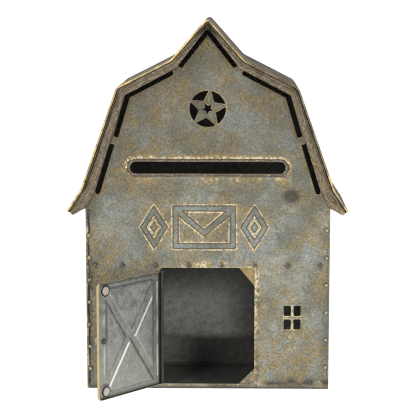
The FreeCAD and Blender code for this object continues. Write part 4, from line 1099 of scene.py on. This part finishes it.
def make_trims(material):
    """A rolled gold bead, a dark crevice and a second, thinner bead along the rim."""
    lines = [half_line(ROOF_CORNERS, ROOF_RADII, row[0]) for row in TRIM_SECTION]
    lines = spread(lines, 1.6)
    along = line_length(lines[0])
    rows, columns = len(along), len(TRIM_SECTION)
    gold = section_values(TRIM_SECTION, 2, rows)
    dirt_and_shade = section_values(TRIM_SECTION, 3, rows)
    track = on_line(along)
    height = lines[0][:, 1]
    steep = 1 - smooth(height, 300, 312) * falls(height, 345, 355)
    faces = ring_faces(rows, columns)
    faces.append(list(range(columns))[::-1])
    faces.append(list(range((rows - 1) * columns, rows * columns)))
    for side, name, seed, fading in ((1, "right", 40, 0.35), (-1, "left", 50, 0.6)):
        wobble = 0.3 * rough(track, 9, seed) + 0.15 * rough(track, 3, seed + 1)
        grid = np.zeros((rows, columns, 3))
        for v, (inset, distance, _, _) in enumerate(TRIM_SECTION):
            ahead = max(0.0, (distance - TRIM_FLAT) / 2)
            rounded = ahead * (0.25 + wobble * 0.8) * (0 < inset < TRIM_WIDTH)
            grid[:, v, 0] = lines[v][:, 0] * side
            grid[:, v, 1] = -distance + rounded
            grid[:, v, 2] = lines[v][:, 1] - HANG_HEIGHT
        bright = 0.5 + 0.7 * patchy(track, 12, seed + 2, -0.5, 0.3)
        if side > 0:
            bright *= 0.03 + 0.97 * falls(height, 205, 250) + 0.75 * smooth(height, 322, 340)
        # The crevice is darker on the steep slopes: painted shade.
        marks = {
            "worn": np.clip(gold * bright[:, None], 0, 1),
            "grime": np.clip(dirt_and_shade * (0.55 + 0.45 * steep)[:, None], 0, 1),
            "pale": fading * patchy(track, 10, seed + 3, 0.0, 0.4)[:, None] * (dirt_and_shade < 0.2),
            "along": np.tile(along[:, None] + seed * 10, (1, columns)),
            "inward": section_values(TRIM_SECTION, 0, rows),
        }
        trim = make_shell(f"rim_{name}", grid.reshape(-1, 3), faces, marks, 60)
        dress(trim, material, "housing", "trim_gold", f"edge_trim_{name}")


# Distances behind the roof's front edge where the mesh has a row: round the hem's steps, and at the back.
HEM_ROWS = [0, 0.6, 1.1, 1.5, 1.9, 2.6, 3.2, 3.6, 4.0, 4.7, 5.3, 5.7, 6.1, 7.0, 8.5]
BACK_ROWS = [116, 118, 119, 119.5, 120, 121, 122.6]


def make_roof(material):
    """One bent sheet with the steps of its folded hems near the front edge."""
    half = half_line(ROOF_CORNERS, ROOF_RADII)
    under = half_line(ROOF_CORNERS, ROOF_RADII, SHEET)
    outer, inner = spread([whole_line(half), whole_line(under)], 2.6)
    depths = np.array([*HEM_ROWS, *np.linspace(11, 114, 36), *BACK_ROWS])
    along = line_length(outer)
    rows, columns = len(outer), len(depths)
    place = np.column_stack([np.repeat(along, columns), np.tile(depths, rows)])
    grid_out, grid_in = (
        grid_of(line[:, None, 0], ROOF_Y + depths, line[:, None, 1]).reshape(-1, 3)
        for line in (outer, inner)
    )
    inward = (grid_in - grid_out) / SHEET
    d = place[:, 1]
    grooves = bell(d - 1.5, 0.4) + bell(d - 3.6, 0.4) + bell(d - 5.7, 0.4) + 0.7 * bell(d - 119.5, 0.5)
    dents = 0.5 + 0.5 * rough(place, 38, 60)
    sunk = 0.3 * grooves + 0.35 * dents * smooth(d, 7, 14) + 0.06 * (1 + rough(place, 5, 61))
    top = grid_out + inward * sunk[:, None]
    bottom = grid_in + inward * (0.3 * dents * smooth(d, 7, 14))[:, None]
    verts, faces = solid_sheet(top, bottom, sheet_triangles(rows, columns))
    # Grime, painted shade in the hem's grooves, and darker towards the back.
    marks = hidden_too(
        grime=most(
            0.85 * np.clip(grooves, 0, 1),
            0.3 * patchy(place, 22, 62, 0.1, 0.7),
            0.6 * bell(d - 3, 12),
            0.75 * smooth(d, 96, 114),
            0.5 * bell(d - 54, 5) + 0.3 * bell(d - 76, 4),
        ),
        worn=most(
            0.5 * bell(d - 0.5, 0.5) + 0.3 * bell(d - 2.5, 0.5) + 0.25 * bell(d - 4.6, 0.5),
            0.35 * patchy(place, 12, 63, 0.25, 0.7),
        ),
        pale=bell(d - 30, 10) * patchy(place, 30, 64, -0.5, 0.2),
    )
    marks["along"] = np.tile(place[:, 0] * 0.4, 2)
    marks["inward"] = np.tile(d * 0.18, 2)
    roof = make_shell("roof_skin", verts, faces, marks, 50)
    dress(roof, material, "housing", "roof_grey", "roof_sheet")


# ---------------------------------------------------------------- letter slot, rivets


BEZEL_SECTION = [
    # outward from the clear slot, in front of the panel, worn, grime and painted shade
    (0.0, -2.2, 0.0, 0.9),
    (0.0, 0.2, 0.0, 0.4),
    (0.15, 0.8, 0.2, 0.0),
    (0.6, 1.15, 0.5, 0.0),
    (1.1, 1.2, 0.3, 0.0),
    (1.7, 0.95, 0.0, 0.0),
    (2.2, 0.85, 0.0, 0.1),
    (2.6, 0.6, 0.0, 0.5),
    (2.8, 0.1, 0.0, 0.95),
    (2.8, -0.25, 0.0, 1.0),
    (0.8, -0.25, 0.0, 1.0),
    (0.75, -2.2, 0.0, 1.0),
]


def make_bezel(material):
    """The rolled rim of the letter slot."""
    loops = [slot_loop(row[0], 18) for row in BEZEL_SECTION]
    grid = ring_grid(loops, [FACE_Y - row[1] for row in BEZEL_SECTION], 2.0)
    along = line_length(grid[:, 0])
    wave = 0.12 * rough(on_line(along), 12, 70) * smooth(along, 0, 6) * smooth(along[-1] - along, 0, 6)
    grid[:, :, 2] += wave[:, None]
    grid = grid[:-1]
    rows, columns = grid.shape[:2]
    faces = ring_faces(rows, columns, closed=True)
    marks = {
        "worn": section_values(BEZEL_SECTION, 2, rows),
        "grime": section_values(BEZEL_SECTION, 3, rows),
    }
    bezel = make_shell("slot_rim", grid.reshape(-1, 3), faces, marks, 60)
    dress(bezel, material, "housing", "bezel_bronze", "letter_slot_bezel")


# Radius as a share of the head's, distance in front of the panel; the last is the crown.
RIVET_HEAD = [(1.0, -0.1), (1.02, 0.15), (0.95, 0.45), (0.75, 0.8), (0.45, 1.0), (0.0, 1.08)]
RIVET_TAIL = [(0.62, -1.6), (0.98, -1.62), (0.95, -1.95), (0.5, -2.2), (0.0, -2.25)]


def make_rivets(name, places, material, node, rng, size=1.8):
    """Hand-set heads: flattened domes, each a little out of true, with peened tails."""
    verts, faces, worn, grime = [], [], [], []
    segments = 18
    for x, height in places:
        lean = rng.uniform(0, 2 * math.pi)
        squash = rng.uniform(0.02, 0.12)
        tip = rng.uniform(-0.12, 0.12)
        for section, scale in ((RIVET_HEAD, rng.uniform(0.93, 1.0)), (RIVET_TAIL, 0.95)):
            start = len(verts)
            *wall, (_, crown) = section
            for radius, proud in wall:
                edge = float(proud < 0.2)
                for k in range(segments):
                    a = 2 * math.pi * k / segments
                    r = radius * size * scale * (1 + squash * math.cos(2 * (a - lean)))
                    lift = proud + tip * math.cos(a - lean) * (proud > 0.3)
                    z = height - HANG_HEIGHT + r * math.sin(a)
                    verts.append((x + r * math.cos(a), FACE_Y - lift, z))
                # Painted shade round the foot of each head.
                worn += [0.9 - 0.6 * edge] * segments
                grime += [0.8 * edge] * segments
            verts.append((x, FACE_Y - crown, height - HANG_HEIGHT))
            worn.append(0.4)
            grime.append(0.0)
            faces += ring_faces(len(wall), segments, first=start)
            last = start + (len(wall) - 1) * segments
            faces += [[last + k, last + (k + 1) % segments, len(verts) - 1] for k in range(segments)]
            faces.append([start + k for k in range(segments)][::-1])
    rivets = make_shell(name, np.array(verts), faces, {"worn": worn, "grime": grime}, 60)
    dress(rivets, material, "housing", "rivet_steel", node)


# ---------------------------------------------------------------- door


def door_fields():
    """The four triangles between the X brace and the rails, on the closed door."""
    left, right, low, high = DOOR_EDGES
    left, right, low, high = left + STILE, right - STILE, low + RAIL, high - RAIL
    cx, cz = (left + right) / 2, (low + high) / 2
    lean = math.atan2((right - left) / 2, (high - low) / 2 - BRACE_DROP)
    stop = BRACE / math.sin(lean)
    across = (BRACE - BRACE_DROP * math.sin(lean)) / math.cos(lean)
    return [
        [(left, high - stop), (left, low + stop), (cx - across, cz)],
        [(right, low + stop), (right, high - stop), (cx + across, cz)],
        [(left, low), (right, low), (cx, cz - BRACE_DROP)],
        [(right, high), (left, high), (cx, cz + BRACE_DROP)],
    ]


DOOR_RIM_SECTION = [
    # inset, depth behind the door's face, worn and painted highlight, grime and painted shade
    (0.8, 0.0, 0.3, 0.0),
    (0.3, 0.08, 0.8, 0.0),
    (0.06, 0.35, 1.0, 0.0),
    (0.0, 0.9, 1.0, 0.0),
    (0.0, 2.5, 1.0, 0.0),
    (0.12, 2.8, 1.0, 0.0),
    (0.4, 3.0, 0.8, 0.0),
    (0.68, 2.85, 0.2, 0.3),
    (0.8, 2.5, 0.0, 0.8),
    (0.8, 0.8, 0.0, 1.0),
]


def make_door(material):
    """A pressed door: soft-edged fields between rails, with a turned rim."""
    left, right, low, high = DOOR_EDGES
    cx, cz = (left + right) / 2, (low + high) / 2
    radii = [DOOR_CORNER, DOOR_CORNER, 0.8, 0.8]

    def door_loop(inset, least, count):
        sizes = [max(r - inset, least) for r in radii]
        return round_box(left + inset, right - inset, low + inset, high - inset, sizes, count)

    outline = door_loop(0.5, 0.3, 7)
    points, triangles = flat_net(outline, [], 1.0, rings=(0.4,))
    px, pz = points[:, 0], points[:, 1]
    edge = edge_distance(points, outline)
    fields = nearest(points, door_fields(), signed_distance)
    pads = np.min([np.hypot(px - x, pz - z) for x, z in MAGNETS], axis=0) - 6.2
    distance = np.minimum(fields, pads)
    press = DOOR_PRESS * smooth(-distance, -0.9, 1.1)
    waves = 0.15 * rough(points, 22, 80) + 0.05 * rough(points, 6, 81)
    depth = press + waves * smooth(edge, 0.5, 3)
    outside = in_space(points, DOOR_FACE_Y + depth)
    within = in_space(points, DOOR_FACE_Y + SHEET + depth)
    skin, faces = solid_sheet(outside, within, triangles)

    # Painted shade in the pressed valleys, on both faces.
    valley = bell(distance - 0.7, 0.7)
    reach = Vector(((right - left) / 2 - STILE, (high - low) / 2 - RAIL - BRACE_DROP)).normalized()
    under = cz - BRACE_DROP - pz
    lower_arm = (px - cx) * reach.y - under * reach.x
    glint = bell(lower_arm + 4.2, 0.5) * smooth(-under, 0, 3) * falls(-under, 36, 42)
    stile_x = right - STILE
    pale_side = bell(px - stile_x - 2.6, 0.8) * patchy(points, 12, 84, -0.4, 0.2)
    hinge_line = bell(px - left - 5.2, 0.7) * (np.abs(pz - cz) < 48)
    # Painted highlights: a near-white glint along the brace, a pale line beside the stile and a light line by
    # the hinge.
    painted_highlight = most(
        bell(lower_arm + 0.2, 0.55) * smooth(under, 1, 4) * falls(under, 42, 48),
        0.95 * glint,
        0.4 * pale_side * (np.abs(pz - cz) < 42),
        0.75 * hinge_line * patchy(points, 14, 85, -0.7, 0.0),
    )
    foot = pz - low
    stile_line = bell(px - stile_x, 1.2) * falls(np.abs(pz - cz - 4), 34, 40)
    # Painted shade on the inside face: the valleys, a line inside the rim, the stile's edge, the hinge gap
    # and a darkening towards the hinge; also darker at the foot, round the knob and along the top.
    inner_grime = most(
        0.45 * valley,
        0.9 * bell(edge - 0.3, 1.1) * smooth(foot, 2, 4),
        0.5 * falls(foot, 2.6, 3.2) + 0.45 * bell(foot - 3.6, 0.6),
        0.8 * stile_line * (0.55 + 0.45 * smooth(pz, cz - 5, cz + 5)),
        0.97 * falls(px - left, 3.4, 4.4),
        0.28 * smooth(left + 26 - px, 0, 20),
        0.45 * bell(np.hypot(px - KNOB[0], (pz - KNOB[1]) / 1.3), 4),
        0.7 * bell(high - pz - 1.5, 1.6),
    )

    rim_loops = [door_loop(row[0], 0.05, 9) for row in DOOR_RIM_SECTION]
    grid = ring_grid(rim_loops, [DOOR_FACE_Y + row[1] for row in DOOR_RIM_SECTION], 1.5)[:-1]
    rows, columns = grid.shape[:2]
    height = grid[:, :, 2] + HANG_HEIGHT
    bottom_row = smooth(-height, -7.5, -6.3)
    top_row = smooth(height, high - 1.2, high - 0.4)
    # Painted shade: the rim is dark on the hinge side, in the gap.
    hinge_side = falls(grid[:, :, 0], left + 0.9, left + 1.4)
    track = grid.reshape(-1, 3)[:, [0, 2]]
    # Gold wear on the rim, kept to the free edge, partly as a painted highlight.
    rubbed_and_lit = section_values(DOOR_RIM_SECTION, 2, rows)
    rubbed_and_lit = rubbed_and_lit * (1 - 0.75 * bottom_row) * (1 - 0.5 * top_row) * (1 - 0.95 * hinge_side)
    rubbed_and_lit = rubbed_and_lit.ravel() * (0.7 + 0.3 * patchy(track, 6, 83, -0.4, 0.2))
    stained = patchy(track, 9, 86, -0.2, 0.4).reshape(rows, columns)
    dirt_and_shade = most(section_values(DOOR_RIM_SECTION, 3, rows), 0.95 * top_row * stained, 0.9 * hinge_side)

    none, full, bare = np.zeros(len(points)), np.ones(len(points)), np.zeros(len(rubbed_and_lit))
    marks = {
        "grime": np.concatenate([0.55 * valley, inner_grime, dirt_and_shade.ravel()]),
        "worn": np.concatenate([0.25 * patchy(points, 9, 82, 0, 0.6), none, rubbed_and_lit]),
        "painted_highlight": np.concatenate([none, painted_highlight, bare]),
        "pale": np.concatenate([full, none, bare]),
    }
    verts = opened(np.vstack([skin, grid.reshape(-1, 3)]))
    faces += ring_faces(rows, columns, closed=True, first=len(skin))
    door = make_shell("door_skin", verts, faces, marks, 50)
    dress(door, material, "door", "door_zinc", "door_panel")


KNOB_SECTION = [
    # radius, distance in front of the door's outer face, as drawn on a lathe
    (0.0, KNOB_LENGTH),
    (1.2, KNOB_LENGTH - 0.05),
    (2.1, KNOB_LENGTH - 0.4),
    (2.7, KNOB_LENGTH - 1.0),
    (2.95, KNOB_LENGTH - 1.8),
    (2.95, KNOB_LENGTH - 2.6),
    (2.6, KNOB_LENGTH - 3.4),
    (1.9, KNOB_LENGTH - 4.1),
    (1.5, KNOB_LENGTH - 5.0),
    (1.45, 2.6),
    (1.6, 1.4),
    (2.2, 0.6),
    (2.5, 0.15),
    (2.5, 0.02),
    (1.1, 0.0),
    (1.1, -1.3),
    (1.6, -1.32),
    (1.65, -1.55),
    (1.35, -1.8),
    (0.7, -1.85),
    (0.0, -1.85),
]


def make_knob(material):
    """A turned pull with a collar, its shank peened over inside the door."""
    segments = 28
    verts, worn, grime = [], [], []
    for radius, proud in KNOB_SECTION:
        for k in range(segments):
            a = 2 * math.pi * k / segments
            size = radius * (1 + 0.05 * math.sin(3 * a + proud)) if proud < -1 else radius
            x, z = KNOB[0] + size * math.cos(a), KNOB[1] + size * math.sin(a)
            verts.append((x, DOOR_FACE_Y - proud, z - HANG_HEIGHT))
            worn.append(1.0 if proud > 0 else 0.0)
            # Painted shade in the collar's groove, and darker at the foot.
            grime.append(0.35 if proud < 0.01 else 0.8 if 1.3 < proud < 2.7 else 0.0)
    faces = ring_faces(len(KNOB_SECTION), segments)
    marks = {"worn": worn, "grime": grime}
    knob = make_shell("knob_turned", opened(np.array(verts)), faces, marks, 40, weld=0.001)
    dress(knob, material, "door", "knob_brass", "door_knob")


# ---------------------------------------------------------------- put together

rng = random.Random(7)
steel = patina_paint()
cove = brown_paint("cove_brown", (132, 117, 93), (114, 100, 78), (74, 63, 48), streaks=0.75)
trim_tones = ((124, 110, 84), (108, 95, 72), (68, 58, 43))
rim = brown_paint("trim_gold", *trim_tones, metallic=0.5, gold=(214, 188, 122), streaks=0.75)
roof_tones = ((120, 108, 82), (100, 89, 66), (66, 58, 44))
roof = brown_paint("roof_grey", *roof_tones, metallic=0.0, streaks=0.35, specular=0.08)
bronze_tones = ((106, 97, 81), (89, 81, 67), (62, 55, 45))
bronze = brown_paint("bezel_bronze", *bronze_tones, metallic=0.4, gold=(134, 120, 96))
rivet_tones = ((128, 122, 104), (100, 92, 74), (60, 52, 40))
rivet = brown_paint("rivet_steel", *rivet_tones, fine=1.3, gold=(180, 164, 126))
dull_tones = ((98, 94, 80), (78, 72, 58), (48, 42, 33))
worn_rivet = brown_paint("header_rivet_steel", *dull_tones, fine=1.3, gold=(112, 100, 72))
zinc = zinc_paint()
dark_inside = inside_paint()
hinge_tones = ((84, 77, 67), (44, 40, 35))
hinge = plain_paint("hinge_steel", *hinge_tones, 4, 0.5, (0.4, 0.65), fleck=(140, 126, 102))
ochre_tones = ((156, 136, 92), (128, 110, 72))
ochre = plain_paint("gusset_ochre", *ochre_tones, 5, 0.3, (0.5, 0.7), fleck=(104, 90, 66))
umber_tones = ((152, 140, 118), (92, 80, 64))
umber = plain_paint("gusset_umber", *umber_tones, 2.5, 0.3, (0.5, 0.7), fleck=(58, 52, 44))
cup = plain_paint("cup_black", (30, 29, 28), (18, 18, 17), 3, 0.2, (0.4, 0.6))
nickel_tones = ((196, 184, 172), (166, 154, 142))
nickel = plain_paint("magnet_nickel", *nickel_tones, 2.5, 0.6, (0.3, 0.45), fleck=(140, 126, 112))
brass_tones = ((120, 112, 98), (98, 92, 80), (58, 52, 44))
brass = brown_paint("knob_brass", *brass_tones, gold=(176, 148, 84))

for material, names in (
    (steel, ("side_wall_left", "side_wall_right")),
    (dark_inside, ("floor_pan", "back_panel", "header_strap")),
    (ochre, ("strike_gusset_top",)),
    (umber, ("strike_gusset_bottom",)),
    (hinge, ("frame_hinge_leaf", "hinge_pin", "door_knuckle_top", "door_knuckle_bottom", "knob_washer")),
    (cup, ("magnet_cup_top", "magnet_cup_bottom")),
    (nickel, ("door_magnet_top", "door_magnet_bottom")),
):
    for name in names:
        nodes[name].data.materials.clear()
        nodes[name].data.materials.append(material)

make_front_panel(steel)
make_coves(cove)
make_trims(rim)
make_roof(roof)
make_bezel(bronze)
make_rivets("rivets_left", LEFT_RIVETS, rivet, "side_rivets_left", rng, 2.0)
make_rivets("rivets_right", RIGHT_RIVETS, rivet, "side_rivets_right", rng)
make_rivets("rivets_header", HEADER_RIVETS, worn_rivet, "header_rivets", rng, 1.5)
make_door(zinc)
make_knob(brass)

# ---------------------------------------------------------------- floor, light and camera


WHITE = (1.0, 1.0, 1.0, 1.0)
FLOOR_Z = -0.75
FLOOR_GLOW = 0.5
BACKDROP = 1.02  # what the camera sees behind the box
SOFT_LIGHT = 0.55  # what lights the box from all round
LIGHT_AIM = (0, -0.1, -0.05)
LIGHTS = [
    # name, place, width, power
    ("key", (-0.9, -1.3, 1.1), 0.7, 22),
    ("fill", (1.2, -1.2, 0.1), 1.0, 7),
]
CAMERA_AIM = (0.0003, -0.105, -0.0655)
CAMERA_AWAY = 1.54
CAMERA_DOWN, CAMERA_RIGHT = 8.4, 1.1  # degrees
CAMERA_LENS = 134.1


def make_stage():
    """A pale floor under the hanging box, with soft light all round."""
    bpy.ops.mesh.primitive_plane_add(size=30, location=(0, 0, FLOOR_Z))
    floor = bpy.context.object
    floor.name = "studio_floor"
    paint = plain_paint("studio_floor", (252, 252, 252), (250, 250, 250), 400, 0.0, (0.8, 0.9), 0.01)
    glow = paint.node_tree.nodes["Principled BSDF"].inputs
    glow["Emission Color"].default_value = WHITE
    glow["Emission Strength"].default_value = FLOOR_GLOW
    floor.data.materials.append(paint)
    world = bpy.data.worlds.new("studio")
    bpy.context.scene.world = world
    world.use_nodes = True
    tree = world.node_tree
    seen = tree.nodes["Background"]
    ambient = tree.nodes.new("ShaderNodeBackground")
    for node, strength in ((seen, BACKDROP), (ambient, SOFT_LIGHT)):
        node.inputs["Color"].default_value = WHITE
        node.inputs["Strength"].default_value = strength
    path = tree.nodes.new("ShaderNodeLightPath")
    choice = tree.nodes.new("ShaderNodeMixShader")
    sources = (path.outputs["Is Camera Ray"], ambient.outputs[0], seen.outputs[0])
    for source, socket in zip(sources, choice.inputs):
        tree.links.new(source, socket)
    tree.links.new(choice.outputs[0], tree.nodes["World Output"].inputs["Surface"])
    for name, place, size, power in LIGHTS:
        lamp = bpy.data.lights.new(name, "AREA")
        lamp.size = size
        lamp.energy = power
        obj = bpy.data.objects.new(name, lamp)
        obj.location = place
        aim = Vector(LIGHT_AIM) - Vector(place)
        obj.rotation_euler = aim.to_track_quat("-Z", "Y").to_euler()
        bpy.context.scene.collection.objects.link(obj)


def make_camera():
    """A long lens a little above the middle of the box."""
    lens = bpy.data.cameras.new("camera")
    lens.sensor_width = 36
    lens.lens = CAMERA_LENS
    lens.clip_start = 0.05
    lens.clip_end = 60
    camera = bpy.data.objects.new("camera", lens)
    down, right = math.radians(CAMERA_DOWN), math.radians(CAMERA_RIGHT)
    level = CAMERA_AWAY * math.cos(down)
    height = CAMERA_AWAY * math.sin(down)
    offset = Vector((level * math.sin(right), -level * math.cos(right), height))
    camera.location = Vector(CAMERA_AIM) + offset
    camera.rotation_euler = (math.pi / 2 - down, 0, right)
    bpy.context.scene.collection.objects.link(camera)
    bpy.context.scene.camera = camera


make_stage()
make_camera()
bpy.context.scene.view_settings.view_transform = "Standard"
bpy.context.scene.cycles.filter_width = 1.1
